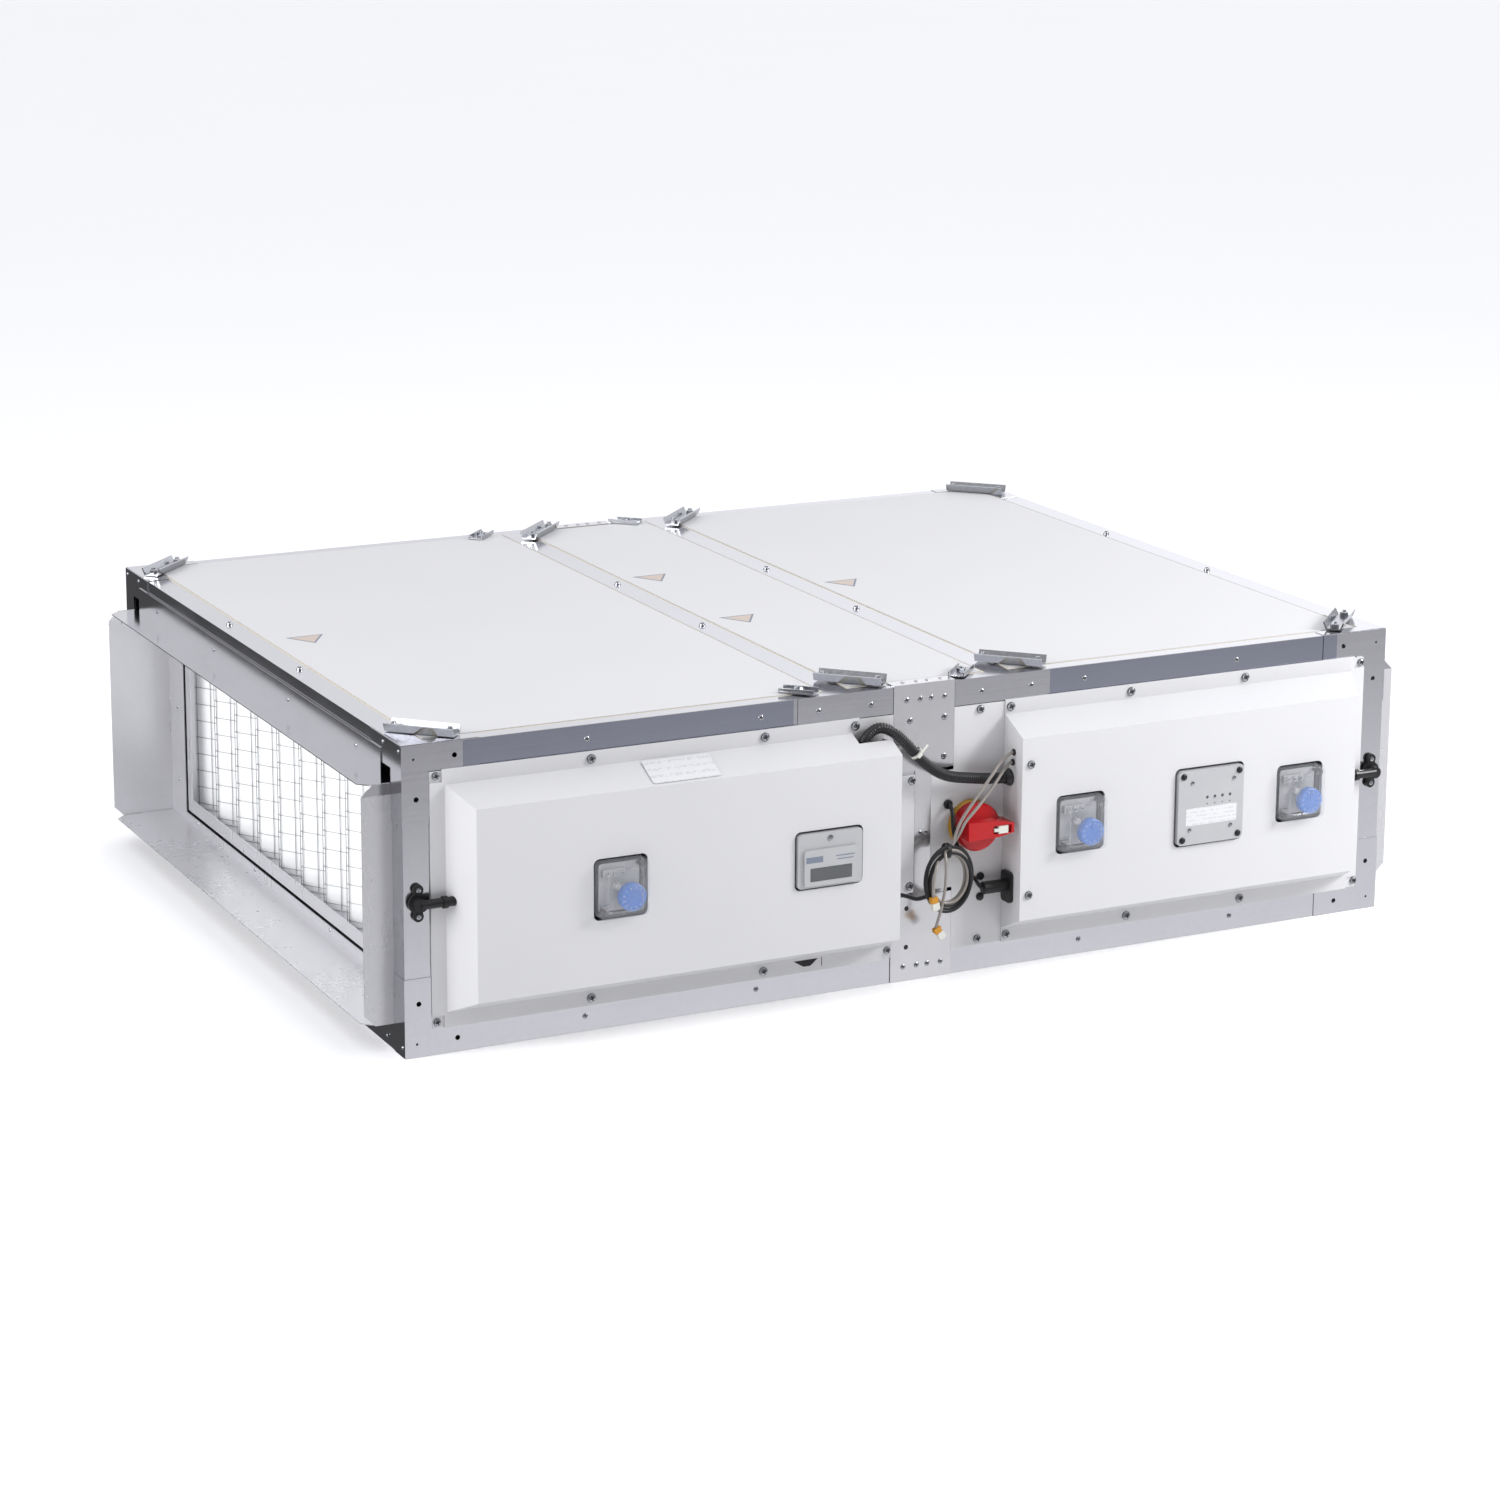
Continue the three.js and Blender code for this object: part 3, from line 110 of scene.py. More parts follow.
class Wire:
    """A shader value that can be used in Python expressions."""

    def __init__(self, paint: "Paint", socket: bpy.types.NodeSocket) -> None:
        """Wraps one output socket of a paint's node tree."""
        self.paint = paint
        self.socket = socket

    def _math(self, operation: str, first: "Value", second: "Value") -> "Wire":
        """One Math node.

        Args:
            operation: The node's operation.
            first: Its first value.
            second: Its second value.

        Returns:
            The node's result.
        """
        node = self.paint.node("ShaderNodeMath", {"operation": operation}, {0: first, 1: second})
        return Wire(self.paint, node.outputs[0])

    def __add__(self, other: "Value") -> "Wire":
        """The sum."""
        return self._math("ADD", self, other)

    def __radd__(self, other: float) -> "Wire":
        """The sum with a number first."""
        return self._math("ADD", other, self)

    def __sub__(self, other: "Value") -> "Wire":
        """The difference."""
        return self._math("SUBTRACT", self, other)

    def __rsub__(self, other: float) -> "Wire":
        """The difference from a number."""
        return self._math("SUBTRACT", other, self)

    def __mul__(self, other: "Value") -> "Wire":
        """The product."""
        return self._math("MULTIPLY", self, other)

    def __rmul__(self, other: float) -> "Wire":
        """The product with a number first."""
        return self._math("MULTIPLY", other, self)

    def __gt__(self, other: float) -> "Wire":
        """One where the value is above a limit, and zero elsewhere."""
        return self._math("GREATER_THAN", self, other)

    def __abs__(self) -> "Wire":
        """The value without its sign."""
        return self._math("ABSOLUTE", self, 0.0)

    def fraction(self) -> "Wire":
        """What the value has over a whole number."""
        return self._math("FRACT", self, 0.0)


Value = Union[Wire, float, int, Sequence[float]]


class Paint:
    """A material with a Principled shader, and the one method that adds its nodes."""

    def __init__(self, name: str) -> None:
        """Starts an empty material of that name."""
        self.material = bpy.data.materials.new(name)
        self.material.use_nodes = True
        self.tree = self.material.node_tree
        self.shader = self.tree.nodes["Principled BSDF"]

    def node(self, kind: str, settings: dict, inputs: dict) -> bpy.types.Node:
        """Adds a node.

        Args:
            kind: The node's type.
            settings: Its properties.
            inputs: A value or a Wire for each socket, by name or number.

        Returns:
            The node.
        """
        made = self.tree.nodes.new(kind)
        for name, value in settings.items():
            setattr(made, name, value)
        for key, value in inputs.items():
            self._feed(made.inputs[key], value)
        return made

    def _feed(self, socket: bpy.types.NodeSocket, value: Value) -> None:
        """Links a Wire to a socket, or sets the socket's own value."""
        if isinstance(value, Wire):
            self.tree.links.new(value.socket, socket)
        elif socket.type == "RGBA" and len(value) == 3:
            socket.default_value = (*value, 1.0)
        else:
            socket.default_value = value

    def place(self, scale: Sequence[float] = (1, 1, 1)) -> Wire:
        """The object's own coordinates, stretched.

        Args:
            scale: The factor along each axis.

        Returns:
            The vector.
        """
        coords = self.node("ShaderNodeTexCoord", {}, {})
        own = Wire(self, coords.outputs["Object"])
        mapped = self.node("ShaderNodeMapping", {}, {"Vector": own, "Scale": scale})
        return Wire(self, mapped.outputs[0])

    def axes(self, vector: Wire) -> list:
        """A vector's x, y and z."""
        split = self.node("ShaderNodeSeparateXYZ", {}, {0: vector})
        return [Wire(self, output) for output in split.outputs]

    def noise(self, scale: float, detail: float, stretch: Sequence[float] = (1, 1, 1)) -> Wire:
        """Smooth noise.

        Args:
            scale: Cells in a metre.
            detail: Octaves.
            stretch: The factor along each axis.

        Returns:
            A value around one half.
        """
        inputs = {"Vector": self.place(stretch), "Scale": scale, "Detail": detail}
        return Wire(self, self.node("ShaderNodeTexNoise", {}, inputs).outputs["Fac"])

    def cells(self, scale: float) -> Wire:
        """Flat random cells.

        Args:
            scale: Cells in a metre.

        Returns:
            A random value for each cell.
        """
        voronoi = self.node("ShaderNodeTexVoronoi", {}, {"Vector": self.place(), "Scale": scale})
        split = self.node("ShaderNodeSeparateColor", {}, {0: Wire(self, voronoi.outputs["Color"])})
        return Wire(self, split.outputs[0])

    def blend(self, factor: Value, first: Value, second: Value) -> Wire:
        """A mix of two colours.

        Args:
            factor: Zero for the first colour and one for the second.
            first: A colour or a Wire.
            second: A colour or a Wire.

        Returns:
            The mixed colour.
        """
        made = self.node("ShaderNodeMix", {"data_type": "RGBA"}, {0: factor, 6: first, 7: second})
        return Wire(self, made.outputs[2])

    def relief(self, height: Wire, depth: float, strength: float) -> None:
        """Feeds a bump to the shader.

        Args:
            height: The relief, from zero to one.
            depth: Its depth in metres.
            strength: How much of it shows.
        """
        inputs = {"Height": height, "Distance": depth, "Strength": strength}
        bump = self.node("ShaderNodeBump", {}, inputs)
        self._feed(self.shader.inputs["Normal"], Wire(self, bump.outputs[0]))

    def set(self, **values: Value) -> None:
        """Sets or links the shader's sockets; an underscore stands for a space."""
        for name, value in values.items():
            self._feed(self.shader.inputs[name.replace("_", " ")], value)


class Sky(Paint):
    """The surroundings, as light that depends on its direction."""

    def __init__(self) -> None:
        """Starts the scene's world."""
        world = bpy.data.worlds.new("studio")
        bpy.context.scene.world = world
        world.use_nodes = True
        self.tree = world.node_tree
        self.shader = self.tree.nodes["Background"]

    def direction(self) -> list:
        """The direction's x, y and z."""
        coords = self.node("ShaderNodeTexCoord", {}, {})
        return self.axes(Wire(self, coords.outputs["Generated"]))

    def span(self, value: Wire, low: float, high: float) -> Wire:
        """Zero below one limit, one above the other, and smooth between them."""
        inputs = {"Value": value, "From Min": low, "From Max": high}
        made = self.node("ShaderNodeMapRange", {"interpolation_type": "SMOOTHSTEP"}, inputs)
        return Wire(self, made.outputs[0])

    def between(self, factor: Value, first: Value, second: Value) -> Wire:
        """A mix of two strengths."""
        return first + factor * (second - first)

    def light(self, strength: Wire, color: tuple) -> None:
        """Feeds the background."""
        self.set(Strength=strength, Color=color)


# ------------------------------------------------------------------ finishes


@dataclass(frozen=True)
class Finish:
    """A named surface; each one paints its own material once."""

    name: str
    slot: str
    color: tuple = (0.8, 0.8, 0.8)
    roughness: float = 0.5

    def paint(self, paint: Paint) -> None:
        """Sets up the shader."""
        raise NotImplementedError

    def material(self) -> bpy.types.Material:
        """The finish's material, made on first use."""
        found = bpy.data.materials.get(self.name)
        if found:
            return found
        paint = Paint(self.name)
        self.paint(paint)
        return paint.material


@dataclass(frozen=True)
class Galvanised(Finish):
    """Rolled zinc-coated sheet: soft clouds, faint spangle and rolling streaks along one axis.

    The upper rails' upright faces may carry painted shade, a darker and bluer tint for the dark surroundings
    they reflect: rail_run is how far from the joint they start and end, rail_band their heights and
    rail_reach how far they lie from the middle, all in metres.
    """

    streak: tuple = (4, 260, 260)
    metallic: float = 0.9
    grain: float = 0.14
    bare_above: float = 10.0
    painted_rail_shade: tuple = (1.0, 1.0, 1.0)
    rail_run: tuple = (0.1897, 0.645)
    rail_band: tuple = (0.3655, 0.3992)
    rail_reach: float = 0.5276

    def paint(self, paint: Paint) -> None:
        """Sets up the shader."""
        clouds = paint.noise(7, 3)
        streaks = paint.noise(1, 4, self.streak)
        spangle = paint.cells(170)
        dark = tuple(0.84 * c for c in self.color)
        zinc = paint.blend(0.55 * clouds + 0.3 * streaks + 0.12 * spangle, dark, self.color)
        # Painted shade: a darker, bluer copy of the zinc for the upper rails' upright faces, in place of the
        # dark surroundings they reflect.
        painted_shade_color = tuple(shade * c for shade, c in zip(self.painted_rail_shade, self.color))
        bare = self._bare(paint)
        paint.set(
            # The painted shade goes on the upper rails' upright faces, and plain zinc goes everywhere else.
            Base_Color=paint.blend(self._painted_rail_shade_mask(paint), zinc, painted_shade_color),
            Metallic=self.metallic + (1 - self.metallic) * bare,
            Roughness=self.roughness - 0.07 + 0.10 * clouds + 0.07 * streaks - 0.1 * bare,
        )
        paint.relief(streaks + 0.4 * spangle, 0.00004, self.grain)

    def _painted_rail_shade_mask(self, paint: Paint) -> Wire:
        """The painted shade's mask: one on the upper rails' upright faces between the corner plates and the
        splices.
        """
        x, y, z = paint.axes(paint.place())
        (start, end), (low, high) = self.rail_run, self.rail_band
        along = (abs(x) > start) * (end - abs(x) > 0)
        return along * (z > low) * (high - z > 0) * (abs(y) > self.rail_reach)

    def _bare(self, paint: Paint) -> Wire:
        """One above a height where the zinc is brighter, and zero under it."""
        _, _, height = paint.axes(paint.place())
        return height > self.bare_above


@dataclass(frozen=True)
class PowderCoat(Finish):
    """Powder-coated sheet with a fine orange peel and a trace of handling marks."""

    def paint(self, paint: Paint) -> None:
        """Sets up the shader."""
        peel = paint.noise(900, 2)
        marks = paint.noise(5, 5)
        soiled = tuple(0.95 * c for c in self.color)
        paint.set(
            Base_Color=paint.blend(marks, soiled, self.color),
            Roughness=self.roughness - 0.06 + 0.12 * marks,
            Specular_IOR_Level=0.45,
        )
        paint.relief(peel, 0.00006, 0.25)


@dataclass(frozen=True)
class Moulded(Finish):
    """Moulded plastic or rubber: fine spark texture and slight gloss changes."""

    grain: float = 1400
    coat: float = 0.0

    def paint(self, paint: Paint) -> None:
        """Sets up the shader."""
        spark = paint.noise(self.grain, 2)
        wear = paint.noise(22, 4)
        worn = tuple(0.86 * c + 0.02 for c in self.color)
        paint.set(
            Base_Color=paint.blend(wear, worn, self.color),
            Roughness=self.roughness - 0.05 + 0.10 * wear,
            Coat_Weight=self.coat,
            Coat_Roughness=0.12,
            Specular_IOR_Level=0.35,
        )
        paint.relief(spark, 0.00004, 0.3)


@dataclass(frozen=True)
class Clear(Finish):
    """Clear moulded plastic with faint flow marks."""

    cover: float = 0.3

    def paint(self, paint: Paint) -> None:
        """Sets up the shader."""
        flow = paint.noise(45, 3)
        paint.set(
            Base_Color=self.color,
            Roughness=self.roughness + 0.06 * flow,
            Alpha=self.cover - 0.06 + 0.12 * flow,
            Specular_IOR_Level=0.8,
            Coat_Weight=0.6,
            Coat_Roughness=0.04,
        )
        paint.relief(flow, 0.0002, 0.25)


@dataclass(frozen=True)
class Plated(Finish):
    """Bright zinc plate on screws, rivets and clamps."""

    def paint(self, paint: Paint) -> None:
        """Sets up the shader."""
        haze = paint.noise(160, 3)
        dark = tuple(0.7 * c for c in self.color)
        paint.set(
            Base_Color=paint.blend(haze, dark, self.color),
            Metallic=1.0,
            Roughness=self.roughness - 0.05 + 0.14 * haze,
        )
        paint.relief(haze, 0.00003, 0.12)


@dataclass(frozen=True)
class Fibre(Finish):
    """Felted filter media or open foam."""

    fibres: float = 700
    depth: float = 0.0004

    def paint(self, paint: Paint) -> None:
        """Sets up the shader."""
        felt = paint.noise(self.fibres, 6)
        clumps = paint.noise(60, 4)
        shade = tuple(0.86 * c for c in self.color)
        paint.set(
            Base_Color=paint.blend(0.6 * felt + 0.4 * clumps, shade, self.color),
            Roughness=0.88 + 0.1 * felt,
            Sheen_Weight=0.15,
        )
        paint.relief(felt + 0.6 * clumps, self.depth, 0.6)


@dataclass(frozen=True)
class Printed(Finish):
    """A plain label: pale film with rows of faint grey bars in place of text."""

    rows: float = 180
    ink: tuple = (0.45, 0.47, 0.5)

    def paint(self, paint: Paint) -> None:
        """Sets up the shader."""
        _, _, height = paint.axes(paint.place((1, 1, self.rows)))
        row = height.fraction() > 0.62
        words = paint.noise(1, 1, (220, 220, self.rows)) > 0.5
        paint.set(
            Base_Color=paint.blend(0.55 * row * words, self.color, self.ink),
            Roughness=self.roughness,
        )
        paint.relief(paint.noise(900, 2), 0.00002, 0.2)


class Kit(Enum):
    """The finishes this unit uses."""

    # RAIL carries painted shade: a darker, bluer tint on the upper rails' upright faces for the dark
    # surroundings they reflect.
    RAIL = Galvanised(
        "galvanised_rails", "galvanised", (0.76, 0.76, 0.80), 0.15,
        streak=(4, 260, 260), metallic=1.0, painted_rail_shade=(0.58, 0.60, 0.68),
    )
    SHEET = Galvanised(
        "galvanised_sheet", "galvanised", (0.76, 0.76, 0.785), 0.27,
        streak=(60, 60, 5), metallic=0.65, grain=0.0, bare_above=0.331,
    )
    PLATE = Galvanised(
        "galvanised_plate", "galvanised", (0.84, 0.835, 0.86), 0.19, streak=(260, 260, 5),
    )
    PAINT = PowderCoat("white_powder_coat", "white_paint", (0.58, 0.58, 0.594), 0.48)
    FOAM = Fibre("cream_foam", "foam", (0.62, 0.57, 0.46), 0.9, 900, 0.0003)
    MEDIA = Fibre("white_filter_media", "filter_media", (0.93, 0.94, 0.95), 0.9)
    BLACK = Moulded("black_moulding", "black_plastic", (0.006, 0.006, 0.007), 0.36)
    RUBBER = Moulded("black_rubber", "black_cable", (0.008, 0.008, 0.010), 0.42, 2200)
    CONDUIT = Moulded("charcoal_conduit", "black_plastic", (0.014, 0.014, 0.016), 0.34, 1200)
    SHEATH = Moulded("grey_cable_sheath", "grey_cable", (0.27, 0.245, 0.225), 0.34, 1800, 0.3)
    GREY = Moulded("light_grey_moulding", "grey_plastic", (0.42, 0.425, 0.44), 0.42)
    DARK_GREY = Moulded("dark_grey_moulding", "grey_plastic", (0.075, 0.077, 0.085), 0.4)
    CREAM = Moulded("cream_moulding", "white_plastic", (0.62, 0.62, 0.575), 0.38)
    AMBER = Moulded("amber_moulding", "yellow_plastic", (0.52, 0.235, 0.006), 0.35)
    YELLOW = Moulded("yellow_moulding", "yellow_plastic", (0.52, 0.26, 0.004), 0.35, 1400, 0.2)
    RED = Moulded("red_moulding", "red_plastic", (0.42, 0.0, 0.003), 0.22)
    BLUE = Moulded("blue_moulding", "blue_plastic", (0.045, 0.18, 0.58), 0.32)
    GLAZE = Clear("clear_hood", "clear_plastic", (0.50, 0.51, 0.54), 0.06, 0.13)
    SCREEN = Moulded("lcd_glass", "grey_plastic", (0.085, 0.09, 0.093), 0.12, 400, 0.3)
    CORE = Moulded("exchanger_plastic", "core_plastic", (0.36, 0.46, 0.54), 0.45)
    STEEL = Plated("bright_zinc", "bright_steel", (0.52, 0.53, 0.56), 0.2)
    WIRE = Plated("wire_zinc", "bright_steel", (0.30, 0.30, 0.31), 0.4)
    IRON = Moulded("dark_painted_metal", "dark_metal", (0.10, 0.105, 0.11), 0.4)
    # Near-black painted shade for screw recesses, rivet pins, drilled holes and the cover slot; the lamp
    # marks use it too.
    SOCKET = Moulded("screw_recess", "dark_metal", (0.012, 0.012, 0.014), 0.6)
    LABEL = Printed("plain_label", "white_plastic", (0.62, 0.62, 0.635), 0.4)
    STICKER = PowderCoat("beige_sticker", "foam", (0.50, 0.42, 0.37), 0.5)
    INK = Moulded("slate_print", "grey_plastic", (0.17, 0.20, 0.26), 0.5)

    def material(self) -> bpy.types.Material:
        """The finish's material."""
        return self.value.material()


# ------------------------------------------------------------------ mesh writing


class Facing(Enum):
    """The way a small part faces, as (its sideways axis, its upward axis, its outward axis)."""

    FRONT = ((1, 0, 0), (0, 0, 1), (0, -1, 0))
    BACK = ((-1, 0, 0), (0, 0, 1), (0, 1, 0))
    TOP = ((1, 0, 0), (0, 1, 0), (0, 0, 1))
    LEFT = ((0, -1, 0), (0, 0, 1), (-1, 0, 0))
    RIGHT = ((0, 1, 0), (0, 0, 1), (1, 0, 0))

    def place(self, origin: Point, turn: float = 0.0) -> Matrix:
        """The matrix that lays a part made in its own axes on a surface.

        Args:
            origin: Where the part's own origin goes.
            turn: Degrees about its outward axis.

        Returns:
            The matrix.
        """
        columns = [Vector(axis) for axis in self.value]
        basis = Matrix(columns).transposed().to_4x4()
        return Matrix.Translation(Vector(origin)) @ basis @ Matrix.Rotation(math.radians(turn), 4, "Z")


def rounded(width: float, height: float, radius: float, steps: int = 5) -> list:
    """The outline of a rectangle with round corners, about its middle.

    Args:
        width: Its size along the first axis.
        height: Its size along the second axis.
        radius: The corners' radius.
        steps: Points in a corner.

    Returns:
        The outline's points.
    """
    outline = []
    for quarter, (su, sv) in enumerate([(1, 1), (-1, 1), (-1, -1), (1, -1)]):
        for step in range(steps):
            angle = math.pi / 2 * (quarter + step / (steps - 1))
            u = su * (width / 2 - radius) + radius * math.cos(angle)
            v = sv * (height / 2 - radius) + radius * math.sin(angle)
            outline.append((u, v))
    return outline


def circle(radius: float, sides: int) -> list:
    """A regular polygon's points about the origin."""
    return [
        (radius * math.cos(2 * math.pi * i / sides), radius * math.sin(2 * math.pi * i / sides))
        for i in range(sides)
    ]


class Forge:
    """Gathers simple solids, given in millimetres, into one mesh."""

    def __init__(self, name: str) -> None:
        """Starts an empty mesh."""
        self.name = name
        self.bm = bmesh.new()

    def skin(self, rings: Sequence[Sequence[Vector]], closed: bool = False) -> None:
        """Joins rings of points, in metres, with faces.

        Args:
            rings: Loops of the same number of points.
            closed: Whether the last ring meets the first; if not, both ends are capped.
        """
        made = [[self.bm.verts.new(p) for p in ring] for ring in rings]
        pairs = list(zip(made, made[1:] + ([made[0]] if closed else [])))
        for low, high in pairs:
            count = len(low)
            for i in range(count):
                j = (i + 1) % count
                self.bm.faces.new((low[i], low[j], high[j], high[i]))
        if not closed:
            self.bm.faces.new(list(reversed(made[0])))
            self.bm.faces.new(made[-1])

    def prism(self, outline: Sequence, low: float, high: float, place: Matrix) -> "Forge":
        """A flat outline given a thickness.

        Args:
            outline: (u, v) points in millimetres.
            low: Where it starts along the outward axis.
            high: Where it ends.
            place: Its matrix, from millimetres times 0.001.

        Returns:
            The forge, for chaining.
        """
        rings = [[place @ Vector((u * MM, v * MM, w * MM)) for u, v in outline] for w in (low, high)]
        self.skin(rings)
        return self

    def box(self, low: Point, high: Point, place: Matrix) -> "Forge":
        """A block between two corners of a part's own axes."""
        outline = [(low[0], low[1]), (high[0], low[1]), (high[0], high[1]), (low[0], high[1])]
        return self.prism(outline, low[2], high[2], place)

    def lathe(self, profile: Sequence, place: Matrix, sides: int = 20) -> "Forge":
        """A turned solid about the outward axis.

        Args:
            profile: (radius, height) points from one end to the other.
            place: Its matrix.
            sides: Points round it.

        Returns:
            The forge, for chaining.
        """
        rings = []
        for radius, height in profile:
            outline = circle(max(radius, AXIS), sides)
            rings.append([place @ Vector((u * MM, v * MM, height * MM)) for u, v in outline])
        self.skin(rings)
        return self

    def ring(self, profile: Sequence, place: Matrix, sides: int = 24) -> "Forge":
        """A turned solid with a hole: the (radius, height) profile closes on itself."""
        loops = []
        for u, v in circle(1.0, sides):
            loops.append([place @ Vector((r * u * MM, r * v * MM, h * MM)) for r, h in profile])
        self.skin(loops, closed=True)
        return self

    def rim(self, outer: Sequence, inner: Sequence, low: float, high: float, place: Matrix) -> "Forge":
        """A flat frame between two outlines of the same number of points."""
        loops = []
        for (ou, ov), (iu, iv) in zip(outer, inner):
            corners = ((ou, ov, low), (ou, ov, high), (iu, iv, high), (iu, iv, low))
            loops.append([place @ Vector((u * MM, v * MM, w * MM)) for u, v, w in corners])
        self.skin(loops, closed=True)
        return self

    def pipe(self, points: Sequence[Vector], radii: Sequence[float], sides: int) -> "Forge":
        """A tube along points in metres.

        Args:
            points: The centre line.
            radii: The radius at each point, in metres.
            sides: Points round it.

        Returns:
            The forge, for chaining.
        """
        rings = []
        side = None
        for i, point in enumerate(points):
            ahead = (points[min(i + 1, len(points) - 1)] - points[max(i - 1, 0)]).normalized()
            if side is None:
                side = ahead.orthogonal().normalized()
            side = (side - ahead * side.dot(ahead)).normalized()
            other = ahead.cross(side)
            rings.append([point + radii[i] * (side * u + other * v) for u, v in circle(1.0, sides)])
        self.skin(rings)
        return self

    def piece(
        self, kit: Kit, body: str = CASING, bevel: float = 0.0, crease: float = SHARP
    ) -> bpy.types.Object:
        """Turns what was gathered into a finished piece.

        Args:
            kit: Its finish.
            body: The CAD body it rides on.
            bevel: The edges' rounding in millimetres.
            crease: Edges sharper than this many degrees stay sharp.

        Returns:
            The object.
        """
        bmesh.ops.recalc_face_normals(self.bm, faces=self.bm.faces)
        for face in self.bm.faces:
            face.smooth = True
        for edge in self.bm.edges:
            edge.smooth = edge.calc_face_angle(0.0) < math.radians(crease)
        mesh = bpy.data.meshes.new(self.name)
        self.bm.to_mesh(mesh)
        self.bm.free()
        made = add(self.name, mesh)
        made.data.materials.append(kit.material())
        if bevel:
            soften(made, bevel)
        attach(made, body)
        log.info("made %s", self.name)
        return made


def soften(piece: bpy.types.Object, width: float) -> None:
    """Rounds a piece's sharp edges.

    Args:
        piece: The object.
        width: The rounding in millimetres.
    """
    modifier = piece.modifiers.new("soft_edges", "BEVEL")
    modifier.width = width * MM
    modifier.segments = 2
    modifier.limit_method = "ANGLE"
    modifier.angle_limit = math.radians(SHARP)


def dress(nodes: Iterable[str], kit: Kit, bevel: float = 0.0) -> None:
    """Gives CAD nodes a finish and, where asked, softened edges.

    Args:
        nodes: The nodes' names.
        kit: Their finish.
        bevel: The edges' rounding in millimetres.
    """
    for name in nodes:
        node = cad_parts[name]
        node.data.materials.clear()
        node.data.materials.append(kit.material())
        if bevel:
            soften(node, bevel)


# ------------------------------------------------------------------ fasteners


@dataclass
class Fasteners:
    """Rivets, pan-head screws and their recesses, gathered in one piece each; the recesses and rivet pins are
    near-black painted shade.
    """

    rivets: Forge = field(default_factory=lambda: Forge("blind_rivets"))
    heads: Forge = field(default_factory=lambda: Forge("pan_screws"))
    recesses: Forge = field(default_factory=lambda: Forge("screw_recesses"))

    def rivet(self, facing: Facing, point: Vector, radius: float = 3.9) -> None:
        """A blind rivet: domed collar round a sunken pin, which is near-black painted shade for its hollow.
        """
        dome = [(radius, 0), (0.93 * radius, 0.5), (0.68 * radius, 1.1), (0.38 * radius, 1.25)]
        hollow = [(0.3 * radius, 0.5), (0, 0.45)]
        self.rivets.lathe([(0, 0.02), *dome, *hollow], facing.place(point), 12)
        pin = [(0, 0.3), (0.26 * radius, 0.3), (0.22 * radius, 0.75), (0, 0.8)]
        self.recesses.lathe(pin, facing.place(point), 8)

    def screw(self, facing: Facing, point: Vector, radius: float = 5.4) -> None:
        """A pan-head screw with a washer and a cross recess; the recess is a near-black block of painted
        shade.
        """
        turned = 20
        place = facing.place(point, turned)
        washer = [(0, 0.05), (1.18 * radius, 0.05), (1.18 * radius, 0.8), (0, 0.8)]
        dome = [(radius, 0.6), (radius, 1.8), (0.88 * radius, 3.1), (0.55 * radius, 3.8)]
        self.heads.lathe(washer, place, 16)
        self.heads.lathe([(0, 0.6), *dome, (0, 4.0)], place, 16)
        for turn in (turned, turned + 90):
            arm = facing.place(point, turn)
            self.recesses.box((-0.62 * radius, -0.75, 3.0), (0.62 * radius, 0.75, 4.08), arm)

    def finish(self) -> None:
        """Makes the pieces."""
        self.rivets.piece(Kit.STEEL)
        self.heads.piece(Kit.STEEL)
        # The recesses piece is near-black painted shade.
        self.recesses.piece(Kit.SOCKET)


# ------------------------------------------------------------------ the frame


WALLS = ((Facing.FRONT, 0.0, -1), (Facing.BACK, DEPTH, 1))  # facing, the frame's face, the way out


